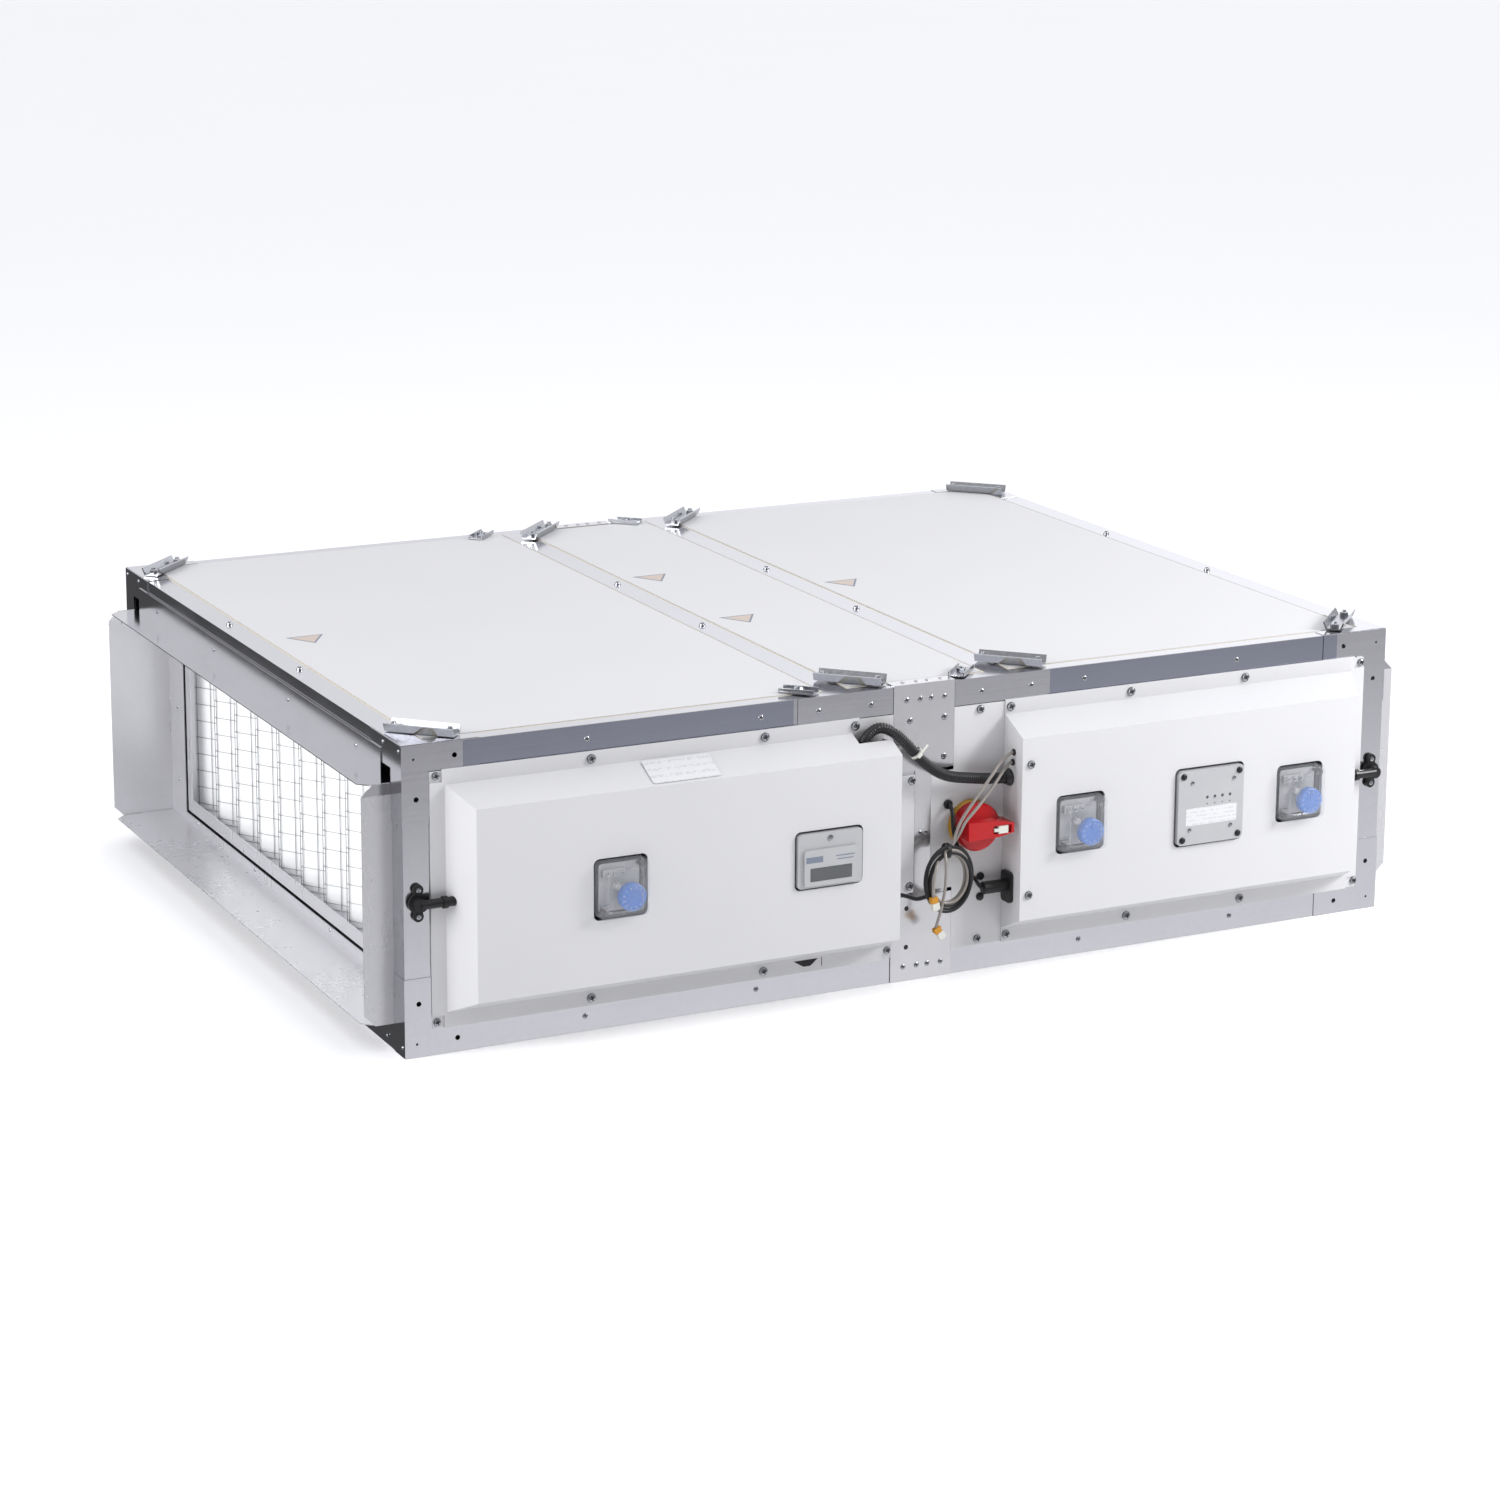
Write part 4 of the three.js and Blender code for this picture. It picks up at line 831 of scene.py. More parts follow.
@dataclass
class FrameDressing:
    """Finishes of the frame's own sheets, and what fastens them; places run from the joint."""

    plate: float = 1.0
    joint_sheet: float = 1.5
    splice: tuple = (40, 190)
    strip: float = 120
    below_top: float = 19
    front_rivets: tuple = (-478, -236, -154, -78, 86, 161, 243, 483)
    lower_rivets: tuple = (-482, -241, 243, 484)
    plate_rivets: tuple = (-26, -6, 10, 30)
    plate_screws: tuple = ((-21, 353), (30, 353), (30, 300))
    plate_holes: tuple = ((-22, 46), (-22, 99))

    def build(self, fasteners: Fasteners) -> None:
        """Dresses the sheets and sets rivets and screws."""
        dress(("left_frame", "right_frame"), Kit.RAIL, 0.35)
        dress(("front_joint_plate", "back_joint_plate"), Kit.PLATE, 0.3)
        dress(("fan_wall", "exchanger_housing", "bypass_blade"), Kit.SHEET)
        for facing, face, out in WALLS:
            self._rail_rivets(fasteners, facing, face, out)
            self._plate_fasteners(fasteners, facing, face + out * self.joint_sheet)
        self._strip_screws(fasteners)
        self._top_rivets(fasteners)
        self._end_rivets(fasteners)
        self._holes()

    def _rail_rivets(self, fasteners: Fasteners, facing: Facing, face: float, out: int) -> None:
        """Rivets along the front or back rails; some go through a splice plate."""
        near, far = self.splice
        for x in self.front_rivets:
            skin = face + out * self.plate if near < abs(x) < far else face
            fasteners.rivet(facing, at(x, skin, HEIGHT - self.below_top))
        for x in self.lower_rivets:
            fasteners.rivet(facing, at(x, face, 19.7))

    def _plate_fasteners(self, fasteners: Fasteners, facing: Facing, skin: float) -> None:
        """Rivets of a joint plate: rows at its ends, large ones under the top, a pair in its neck."""
        for x in self.plate_rivets:
            fasteners.rivet(facing, at(x, skin, HEIGHT - self.below_top))
            fasteners.rivet(facing, at(x, skin, 19.5))
        for x, z in self.plate_screws:
            fasteners.rivet(facing, at(x, skin, z), 4.6)
        for x in (-4, 5):
            fasteners.rivet(facing, at(x, skin, HEIGHT / 2), 3.4)

    def _strip_screws(self, fasteners: Fasteners) -> None:
        """Screws in the cross strips and the end strips."""
        for y in (0.375 * DEPTH, 0.63 * DEPTH):
            for x in (-self.strip, self.strip):
                fasteners.screw(Facing.TOP, at(x, y, HEIGHT), 4.2)
            for x in (-END + 19, END - 22):
                fasteners.screw(Facing.TOP, at(x, y, HEIGHT), 4.0)

    def _top_rivets(self, fasteners: Fasteners) -> None:
        """Rivets over the joint, in the joint plates' top flanges."""
        for x in self.plate_rivets:
            for y in (10, DEPTH - 10):
                fasteners.rivet(Facing.TOP, at(x, y, HEIGHT + 1.8), 3.4)

    def _end_rivets(self, fasteners: Fasteners) -> None:
        """Small rivets in the corner plates' end faces."""
        for side, facing in ((-1, Facing.LEFT), (1, Facing.RIGHT)):
            for y in (8, 60, DEPTH - 60, DEPTH - 8):
                for z in (HEIGHT - 8, 12):
                    fasteners.rivet(facing, at(side * (END + self.plate), y, z), 2.6)

    def _holes(self) -> None:
        """Drilled holes near the corners and in the joint plates, as near-black plugs of painted shade."""
        plugs = Forge("pilot_holes")
        for facing, face, out in WALLS:
            for side in (-1, 1):
                for z in (17, HEIGHT - 18):
                    place = facing.place(at(side * (END - 15), face + out * self.plate, z))
                    plugs.lathe([(0, 0.02), (1.7, 0.02), (1.6, 0.1), (0, 0.1)], place, 10)
            for x, z in self.plate_holes:
                place = facing.place(at(x, face + 0.7 * out, z))
                plugs.lathe([(0, 0.0), (3.3, 0.0), (3.3, 0.2), (0, 0.2)], place, 14)
        # The plugs are painted shade in place of the holes' dark depth.
        plugs.piece(Kit.SOCKET)


# ------------------------------------------------------------------ lids and clamps


@dataclass
class Lids:
    """Access lids, their seals, stickers and clamps; small clamps are (x, y, turn in degrees)."""

    lids: tuple = ("left", "middle", "right")
    sticker: tuple = (54, 44)
    stickers: tuple = ((-637, 562), (-55, 703), (-53, 420), (182, 556))
    clamps: tuple = ("left", "middle", "right", "end")
    bolt_spacing: float = 75
    bolt_seat: float = 6.8
    small_clamps: tuple = ((-170, 11, -45), (70, 13, 45), (-174, 1088, 45), (67, 1089, -45))

    def build(self) -> None:
        """Dresses the lids and makes what lies on them."""
        dress((f"{lid}_lid" for lid in self.lids), Kit.PAINT, 0.7)
        dress((f"{lid}_gasket" for lid in self.lids), Kit.FOAM)
        dress((f"clamp_{p}_{s}" for p in self.clamps for s in ("front", "back")), Kit.STEEL, 0.3)
        self._stickers()
        self._bolts()
        self._small_clamps()

    def _stickers(self) -> None:
        """Plain triangular stickers without any sign: a dark border with a pale face on it."""
        borders = Forge("sticker_borders")
        faces = Forge("plain_stickers")
        width, height = self.sticker
        outline = [(width / 2, height / 2), (0, -height / 2), (-width / 2, height / 2)]
        inner = [(0.82 * u, 0.82 * v + 1.2) for u, v in outline]
        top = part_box("left_lid")[1].z / MM
        for x, y in self.stickers:
            place = Facing.TOP.place(at(x, y, top))
            borders.prism(outline, 0.02, 0.08, place)
            faces.prism(inner, 0.07, 0.14, place)
        borders.piece(Kit.INK)
        faces.piece(Kit.STICKER)

    def _bolts(self) -> None:
        """Washers and threaded ends on the clamps' bolts; each clamp lies at 45 degrees."""
        washers = Forge("clamp_washers")
        profile = [(0, 0), (4.2, 0.25), (3.2, 1.3), (2.9, 3.7), (0, 4.1)]
        reach = self.bolt_spacing / 2 * math.sqrt(0.5) * MM
        for clamp in self.clamps:
            for side in ("front", "back"):
                low, _, middle = extent(f"clamp_{clamp}_{side}")
                rise = reach if (side == "front") == (clamp == "end") else -reach
                seat = low.z + self.bolt_seat * MM
                for end in (-1, 1):
                    spot = (middle.x + end * reach, middle.y + end * rise, seat)
                    washers.lathe(profile, Facing.TOP.place(spot), 14)
        washers.piece(Kit.STEEL)

    def _small_clamps(self) -> None:
        """Short clamps with one bolt at the lids' other corners."""
        plates = Forge("small_clamps")
        base = HEIGHT + 1.3
        run, half = 24, 11
        for x, y, turn in self.small_clamps:
            inward = 1 if y < DEPTH / 2 else -1
            place = Facing.TOP.place(at(x, y + 14 * inward, base), turn)
            plates.box((-run, -half, 0.3), (run, half, 2.3), place)
            for edge in (-half, half - 2):
                plates.box((-run, edge, 2.2), (run, edge + 2, 6.5), place)
            plates.prism(circle(6.2, 6), 2.2, 7.0, place)
            plates.lathe([(0, 6.9), (3.2, 6.9), (3.0, 8.8), (0, 9.0)], place, 14)
        plates.piece(Kit.STEEL, bevel=0.3)


# ------------------------------------------------------------------ panels and control covers


@dataclass
class Covers:
    """Wall panels, bevelled covers and what is screwed or stuck to them; places are (x, z)."""

    flange_y: float = -3.3
    skin_y: float = -1.5
    face_y: float = -50
    bevel: tuple = (23, 46.7)
    rating_plate: tuple = (94, 43)
    top_screws: tuple = (-474, -232, -102, 129, 314, 495)
    low_screws: tuple = (-475, -232.5, 128, 315.5, 497.5)
    corner_screws: tuple = ((-681.5, 358), (-683.6, 42.3), (685, 356.6), (686.7, 43.6), (-50.5, 46))
    panel_screws: tuple = ((84, 357), (85, 43), (-17, 272), (-18, 129))
    face_screws: tuple = ((134, 288), (134, 110))

    def build(self, fasteners: Fasteners) -> None:
        """Dresses the sheets and sets screws, labels and grommets."""
        walls = [f"{side}_panel_{end}" for side in ("front", "back", "bottom") for end in ("left", "right")]
        dress(walls, Kit.PAINT)
        dress(("left_cover", "right_cover"), Kit.PAINT, 0.5)
        for x in self.top_screws:
            fasteners.screw(Facing.FRONT, at(x, self.flange_y, 356))
        for x in self.low_screws:
            fasteners.screw(Facing.FRONT, at(x, self.flange_y, 43.7))
        for x, z in self.corner_screws:
            fasteners.screw(Facing.FRONT, at(x, self.skin_y, z), 4.6)
        for x, z in self.panel_screws:
            fasteners.screw(Facing.FRONT, at(x, self.skin_y, z), 5)
        for x, z in self.face_screws:
            fasteners.screw(Facing.FRONT, at(x, self.face_y, z), 5)
        self._rating_plate()
        self._grommets()
        self._lifting_slot()

    def _rating_plate(self) -> None:
        """A plain label on the left cover's upper slope."""
        lean = math.radians(90) - math.atan2(*self.bevel)
        place = Facing.FRONT.place(at(-361, -26.8, 335.6)) @ Matrix.Rotation(-lean, 4, "X")
        plate = Forge("plain_rating_plate").prism(rounded(*self.rating_plate, 3), 0.45, 0.7, place)
        plate.piece(Kit.LABEL)

    def _grommets(self) -> None:
        """Rubber grommets where cables pass the sheets."""
        forge = Forge("cable_grommets")
        large = [(3.0, -1.0), (6.2, -1.0), (6.2, 2.2), (5.0, 3.2), (3.0, 3.2)]
        closed = [(0, 0.1), (5.6, 0.1), (5.4, 2.2), (3.6, 3.4), (0, 3.6)]
        small = [(2.25, 0.0), (4.6, 0.0), (4.4, 1.6), (2.25, 2.4)]
        forge.ring(large, Facing.FRONT.place(at(37, self.skin_y - 1.2, 234)), 20)
        for z in (129, 101):
            forge.lathe(closed, Facing.FRONT.place(at(88, self.skin_y, z)), 18)
        for y, z in ((-28, 301), (-26, 287)):
            forge.ring(small, Facing.LEFT.place(at(120.7, y, z)), 18)
        forge.piece(Kit.RUBBER)

    def _lifting_slot(self) -> None:
        """A slot with slanted ends low in the left cover's flange, as a flat near-black shape of painted
        shade, and a mark beside it.
        """
        forge = Forge("cover_slot")
        place = Facing.FRONT.place(at(-170, self.flange_y, 47))
        # Painted shade: the slot's outline, filled near-black in place of the opening's dark depth.
        forge.prism([(-19, 3.5), (-4, -5.5), (6, -5.5), (17, 3.5)], 0.02, 0.12, place)
        forge.prism([(22, 4), (23, 4), (23, -8), (22, -8)], 0.02, 0.12, place)
        forge.piece(Kit.SOCKET)


# ------------------------------------------------------------------ devices


def lift(up: float) -> Matrix:
    """A move along a part's own upward axis, in millimetres."""
    return Matrix.Translation(Vector((0, up * MM, 0)))


def slide(across: float) -> Matrix:
    """A move along a part's own sideways axis, in millimetres."""
    return Matrix.Translation(Vector((across * MM, 0, 0)))


@dataclass
class PressureSwitch:
    """One differential pressure switch: body, works, clear hood with screws, and dial marks.

    Its index is the number in its nodes' names, depth is how far its hood stands out from the frame,
    and pins are the terminals' places across it.
    """

    index: int
    hood: tuple = (68, 74)
    depth: float = 66
    pins: tuple = (-17.5, -7.5, 2.5)
    place: Matrix = field(init=False)

    def build(self) -> None:
        """Makes the switch in place of its CAD solid."""
        _, _, middle = extent(f"pressure_switch_{self.index}")
        self.place = Facing.FRONT.place((middle.x, FRONT, middle.z))
        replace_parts(self._body(), f"pressure_switch_{self.index}")
        self._works()
        self._hood()
        self._dial_marks()

    def _body(self) -> bpy.types.Object:
        """The opaque base with its rim."""
        width, height = self.hood
        forge = Forge(f"switch_{self.index}_body")
        forge.prism(rounded(width - 4, height - 4, 5), 3.5, 42, self.place)
        forge.rim(rounded(width, height, 6), rounded(width - 8, height - 8, 4), 40, 45, self.place)
        return forge.piece(Kit.DARK_GREY, bevel=0.4)

    def _works(self) -> None:
        """The pale carrier plate, terminal block, spring seat, pressure tube and bright pins."""
        forge = Forge(f"switch_{self.index}_works")
        forge.prism(rounded(56, 62, 4), 42, 44, self.place)
        forge.box((-24, 14, 43.9), (6, 24, 49), self.place)
        for u in self.pins:
            forge.box((u - 2.5, 15.5, 48.9), (u + 2.5, 22.5, 51), self.place)
        seat = [(0, 43.9), (13, 43.9), (12, 48), (8, 49), (0, 49)]
        forge.lathe(seat, self.place @ slide(12) @ lift(-12), 28)
        tube = [(0, 43.9), (5, 43.9), (4.2, 54), (3, 54.5), (0, 54.5)]
        forge.lathe(tube, self.place @ slide(-5) @ lift(2), 16)
        forge.piece(Kit.GREY, bevel=0.3)
        bright = Forge(f"switch_{self.index}_pins")
        for u in self.pins:
            pin = [(0, 50.9), (1.7, 50.9), (1.5, 51.8), (0, 51.9)]
            bright.lathe(pin, self.place @ slide(u) @ lift(19), 12)
        bright.box((-26, -26, 43.9), (-14, -23, 46.5), self.place)
        bright.piece(Kit.STEEL)

    def _hood(self) -> None:
        """The clear hood: skirt, crowned front with a raised panel, and two cover screws."""
        width, height = self.hood
        depth = self.depth
        foot = 45.2
        forge = Forge(f"switch_{self.index}_hood")
        steps = [(0, foot), (0, depth - 5), (-1.2, depth - 2), (-4.5, depth - 0.2), (-9, depth)]
        outer = [self._loop(2 * grow, 7, out) for grow, out in steps]
        inner = [self._loop(2 * grow - 4, 5.5, out - 1.6) for grow, out in reversed(steps[1:])]
        forge.skin([*outer, *inner, self._loop(-4, 5.5, foot)], closed=True)
        forge.prism(rounded(width - 17.8, height - 17.8, 4), depth - 1.7, depth - 0.05, self.place)
        forge.piece(Kit.GLAZE)
        screws = Forge(f"switch_{self.index}_cover_screws")
        shank = [(0, 46), (2.6, 46), (2.6, depth - 4)]
        head = [(3.8, depth - 3.6), (3.8, depth - 2.6), (0, depth - 2.4)]
        for u, v in ((-25, -28), (25, 28)):
            screws.lathe(shank + head, self.place @ slide(u) @ lift(v), 14)
        screws.piece(Kit.DARK_GREY)

    def _loop(self, grow: float, radius: float, out: float) -> list:
        """One rounded loop of the hood.

        Args:
            grow: Millimetres added to the hood's width and height.
            radius: Its corners' radius.
            out: Its distance in front of the frame.

        Returns:
            The loop's points.
        """
        width, height = self.hood
        outline = rounded(width + grow, height + grow, radius)
        return [self.place @ Vector((u * MM, v * MM, out * MM)) for u, v in outline]

    def _dial_marks(self) -> None:
        """Finishes the dial and gives it a ring of plain ticks."""
        dress((f"dial_{self.index}",), Kit.BLUE, 0.5)
        low, _, middle = extent(f"dial_{self.index}")
        forge = Forge(f"dial_{self.index}_ticks")
        face = low.y + 0.6 * MM
        rim = 14.6
        for step in range(12):
            place = Facing.FRONT.place((middle.x, face, middle.z), 30 * step + 15)
            length = 3.4 if step % 3 == 0 else 2.2
            forge.box((rim - length, -0.35, 0.02), (rim, 0.35, 0.14), place)
        forge.piece(Kit.CREAM, body=f"setting_dial_{self.index}")


class Display:
    """The display controller's screen, print and screw."""

    def build(self) -> None:
        """Finishes the controller."""
        dress(("display_controller",), Kit.GREY, 0.8)
        low, high, middle = extent("display_controller")
        front = (FRONT - low.y) / MM
        print_depth = (front + 0.02, front + 0.12)
        place = Facing.FRONT.place((middle.x, FRONT, middle.z - 9 * MM))
        glass = Forge("display_screen")
        glass.prism(rounded(59, 17, 1), front - 0.95, front - 0.3, place @ lift(-9))
        glass.piece(Kit.SCREEN)
        print_bars = Forge("display_print")
        print_bars.prism(rounded(24, 8, 0.8), *print_depth, place @ slide(-24) @ lift(11))
        for row, width in enumerate((27, 23)):
            line = place @ slide(20) @ lift(13 - 4.5 * row)
            print_bars.box((-width / 2, -0.7, print_depth[0]), (width / 2, 0.7, print_depth[1]), line)
        print_bars.piece(Kit.INK)
        screw = Forge("display_screw")
        profile = [(0, 53.9), (4, 53.9), (3.6, 55.3), (1.4, 55.6), (1.2, 54.8), (0, 54.7)]
        screw.lathe(profile, Facing.FRONT.place((middle.x, FRONT, high.z - 8 * MM)), 18)
        screw.piece(Kit.STEEL)


@dataclass
class LampBox:
    """The status lamp box's screws, lamps and plain label; places run from its middle."""

    corner: float = 44
    inner_screws: tuple = ((-30, 34), (36, 34), (-33, -31), (32, -31))
    lamps: tuple = (-6, 6, 18, 30)

    def build(self) -> None:
        """Finishes the box."""
        dress(("lamp_box",), Kit.GREY, 1.2)
        low, _, middle = extent("lamp_box")
        place = Facing.FRONT.place((middle.x, low.y, middle.z))
        self._screws(place)
        self._lamps(place)
        label = Forge("lamp_box_label")
        label.prism(rounded(80, 24, 1.5), 0.02, 0.14, place @ slide(1) @ lift(-13))
        label.piece(Kit.LABEL)

    def _screws(self, place: Matrix) -> None:
        """Four black corner screws and four small bright ones."""
        black = Forge("lamp_box_corner_screws")
        large = [(0, 0), (4.6, 0), (4.4, 1.2), (3.2, 2.2), (0, 2.5)]
        for u in (-self.corner, self.corner):
            for v in (-self.corner, self.corner):
                black.lathe(large, place @ slide(u) @ lift(v), 16)
        black.piece(Kit.BLACK)
        bright = Forge("lamp_box_small_screws")
        small = [(0, 0), (2.9, 0), (2.6, 1.2), (0.9, 1.5), (0.7, 1), (0, 1)]
        for u, v in self.inner_screws:
            bright.lathe(small, place @ slide(u) @ lift(v), 14)
        bright.piece(Kit.STEEL)

    def _lamps(self, place: Matrix) -> None:
        """A lens in each lamp hole and a dot under it."""
        lenses = Forge("status_lamps")
        dots = Forge("lamp_marks")
        dome = [(0, -1.9), (2.0, -1.9), (2.0, -0.8), (1.2, 0.2), (0, 0.5)]
        dot = [(0, 0.02), (0.9, 0.02), (0.9, 0.12), (0, 0.12)]
        for u in self.lamps:
            lenses.lathe(dome, place @ slide(u) @ lift(12), 14)
            dots.lathe(dot, place @ slide(u) @ lift(3), 10)
        lenses.piece(Kit.SCREEN)
        dots.piece(Kit.SOCKET)


class Isolator:
    """The main switch's finishes."""

    def build(self) -> None:
        """Dresses the switch."""
        dress(("isolator_base",), Kit.YELLOW, 0.6)
        dress(("isolator_handle",), Kit.RED, 1.6)
        dress(("padlock_slide",), Kit.CREAM, 0.5)


@dataclass
class Taps:
    """Pressure taps: moulded finish and flange screws; inset is from a tap's outer end."""

    inset: float = 13
    flange: float = 5.3
    offsets: tuple = (-17, 17)

    def build(self) -> None:
        """Finishes the taps."""
        dress(("left_tap", "right_tap", "side_tap"), Kit.BLACK, 0.4)
        screws = Forge("tap_screws")
        profile = [(0, 0), (3.6, 0), (3.3, 1.3), (1.6, 1.7), (1.3, 0.9), (0, 0.8)]
        left, right = extent("left_tap"), extent("right_tap")
        inset = self.inset * MM
        for x, z in ((left[0].x + inset, left[2].z), (right[1].x - inset, right[2].z)):
            for offset in self.offsets:
                place = Facing.FRONT.place((x, FRONT - self.flange * MM, z + offset * MM))
                screws.lathe(profile, place, 16)
        screws.piece(Kit.STEEL)


# ------------------------------------------------------------------ duct collars and filter


@dataclass
class Collars:
    """Duct collars with their rivets, and the pleated filter with its seal and wire grid."""

    sleeve: float = 50
    filter_side: float = 104
    filter_depth: float = 47.5
    lip: float = 20
    sheet: float = 1.4
    pitch: float = 25
    wire_radius: float = 0.45
    media: float = 3
    pleat_depth: float = 30
    pleats: int = 10
    room: float = 1.5

    def build(self, fasteners: Fasteners) -> None:
        """Dresses the collars and makes the filter."""
        dress(("left_collar", "right_collar"), Kit.SHEET, 0.25)
        self._rivets(fasteners)
        self._filter()
        self._seal()

    def _rivets(self, fasteners: Fasteners) -> None:
        """Rivets on the upright flange, the inner wall and the bottom flange."""
        for side, facing in ((-1, Facing.LEFT), (1, Facing.RIGHT)):
            apron = side * (END + 2.5)
            wall = side * (END - self.sleeve)
            for y in (150, 400, 700, 950):
                fasteners.rivet(facing, at(apron, y, 365), 3.4)
                fasteners.rivet(facing, at(wall, y, 43), 3.0)
            for y in (70, DEPTH - 70):
                for z in (90, 200, 310):
                    fasteners.rivet(facing, at(wall, y, z), 3.0)

    def _zigzag(self, start: float, rise: float) -> list:
        """The pleats' fold line as (x, y) points in millimetres.

        Args:
            start: The outer folds' x.
            rise: How far the inner folds lie behind them.

        Returns:
            The points.
        """
        first = self.filter_side + self.room
        step = (DEPTH - 2 * first) / (2 * self.pleats)
        return [(start + (i % 2) * rise, first + i * step) for i in range(2 * self.pleats + 1)]

    def _outline(self, inset: float, inset_up: float) -> list:
        """The cassette's outline, seen from the left.

        Args:
            inset: How far in its sides are drawn, in millimetres; less than zero is outside.
            inset_up: The same for its top and bottom.

        Returns:
            The four corners.
        """
        low, high, _ = extent("filter_cassette")
        near, far = -self.filter_side - inset, self.filter_side - DEPTH + inset
        bottom, top = low.z / MM + inset_up, high.z / MM - inset_up
        return [(near, bottom), (far, bottom), (far, top), (near, top)]

    def _filter(self) -> None:
        """The cassette: folded rim, pleated media and wire grid."""
        low, high, _ = extent("filter_cassette")
        x0, z0, z1 = low.x / MM, low.z / MM, high.z / MM
        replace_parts(self._media(x0 + 15, z0 + 2, z1 - 2), "filter_cassette")
        rim = Forge("filter_rim")
        place = Facing.LEFT.place(at(x0, 0, 0))
        outer = self._outline(0, 0)
        rim.rim(outer, self._outline(self.lip, self.lip), -self.sheet, -0.1, place)
        rim.rim(outer, self._outline(self.sheet, self.sheet), -self.filter_depth, -self.sheet, place)
        rim.piece(Kit.SHEET, bevel=0.3)
        self._wires(x0 + 13.8, z0 + 4, z1 - 4)

    def _media(self, x: float, z0: float, z1: float) -> bpy.types.Object:
        """The pleated sheet, with soft folds.

        Args:
            x: Where its outer folds lie, in millimetres from the joint.
            z0: Its lower edge.
            z1: Its upper edge.

        Returns:
            The object.
        """
        forge = Forge("filter_media")
        run = self._softened(self._zigzag(x, self.pleat_depth))
        outline = run + [(u + self.media, v) for u, v in reversed(run)]
        forge.skin([[at(u, v, z) for u, v in outline] for z in (z0, z1)])
        return forge.piece(Kit.MEDIA, crease=50)

    @staticmethod
    def _softened(points: Sequence) -> list:
        """A fold line with each corner replaced by a short bend."""
        soft = [points[0]]
        for before, here, after in zip(points, points[1:], points[2:]):
            for share, towards in ((0.08, before), (0.03, before), (0.03, after), (0.08, after)):
                soft.append(tuple(h + share * (t - h) for t, h in zip(towards, here)))
        return soft + [points[-1]]

    def _wires(self, x: float, z0: float, z1: float) -> None:
        """Welded wire bonded to the pleats: folded cross wires and straight uprights."""
        forge = Forge("filter_wires")
        line = self._zigzag(x, self.pleat_depth)
        z = z0 + 6
        while z < z1:
            self._wire(forge, [at(u, v, z) for u, v in line])
            z += self.pitch
        for start, end in zip(line, line[1:]):
            run = math.dist(start, end)
            for i in range(int(run / self.pitch) + 1):
                share = self.pitch * i / run
                u, v = (s + share * (e - s) for s, e in zip(start, end))
                self._wire(forge, [at(u - 0.8, v, z0), at(u - 0.8, v, z1)])
        forge.piece(Kit.WIRE)

    def _wire(self, forge: Forge, points: Sequence[Vector]) -> None:
        """Adds one wire of the grid."""
        forge.pipe(points, [self.wire_radius * MM] * len(points), 5)

    def _seal(self) -> None:
        """The black seal round the filter, seen in the gap beside its rim."""
        place = Facing.LEFT.place(at(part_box("filter_cassette")[0].x / MM, 0, 0))
        forge = Forge("filter_seal")
        forge.rim(self._outline(-5, -3), self._outline(-0.2, -0.2), -12, -3, place)
        forge.piece(Kit.RUBBER)


class Insides:
    """Finishes of the fans, exchanger and tray, which show when the lids are off."""

    def build(self) -> None:
        """Dresses the inner parts."""
        fans = (f"{air}_fan_{part}" for air in ("supply", "extract") for part in ("impeller", "motor"))
        dress(fans, Kit.IRON)
        dress(("exchanger_core",), Kit.CORE)
        dress(("condensate_tray",), Kit.BLACK, 0.4)


# ------------------------------------------------------------------ conduit and cables


def smooth(points: Sequence[Point], step: float) -> list:
    """Points along a smooth line through a route.

    Args:
        points: The route, in metres.
        step: The spacing in metres.

    Returns:
        The evenly spaced points.
    """
    route = [Vector(p) for p in points]
    padded = [2 * route[0] - route[1], *route, 2 * route[-1] - route[-2]]
    dense = []
    for before, start, end, after in zip(padded, padded[1:], padded[2:], padded[3:]):
        linear = end - before
        square = 2 * before - 5 * start + 4 * end - after
        cube = 3 * start - before - 3 * end + after
        for t in (i / 16 for i in range(16)):
            dense.append(0.5 * (2 * start + linear * t + square * t ** 2 + cube * t ** 3))
    dense.append(route[-1])
    return spaced(dense, step)


def spaced(points: Sequence[Vector], step: float) -> list:
    """The same line with its points a step apart."""
    even, left = [points[0]], step
    for start, end in zip(points, points[1:]):
        run = (end - start).length
        while run > left:
            start = start.lerp(end, left / run)
            even.append(start)
            run, left = run - left, step
        left -= run
    if (points[-1] - even[-1]).length > step / 4:
        even.append(points[-1])
    return even


def run_length(points: Sequence[Vector]) -> float:
    """The length of a line through points."""
    return sum((b - a).length for a, b in zip(points, points[1:]))


def places(route: Sequence[Point]) -> list:
    """A route's points in the row frame, from millimetres off the joint, the front and the floor."""
    return [at(*point) for point in route]


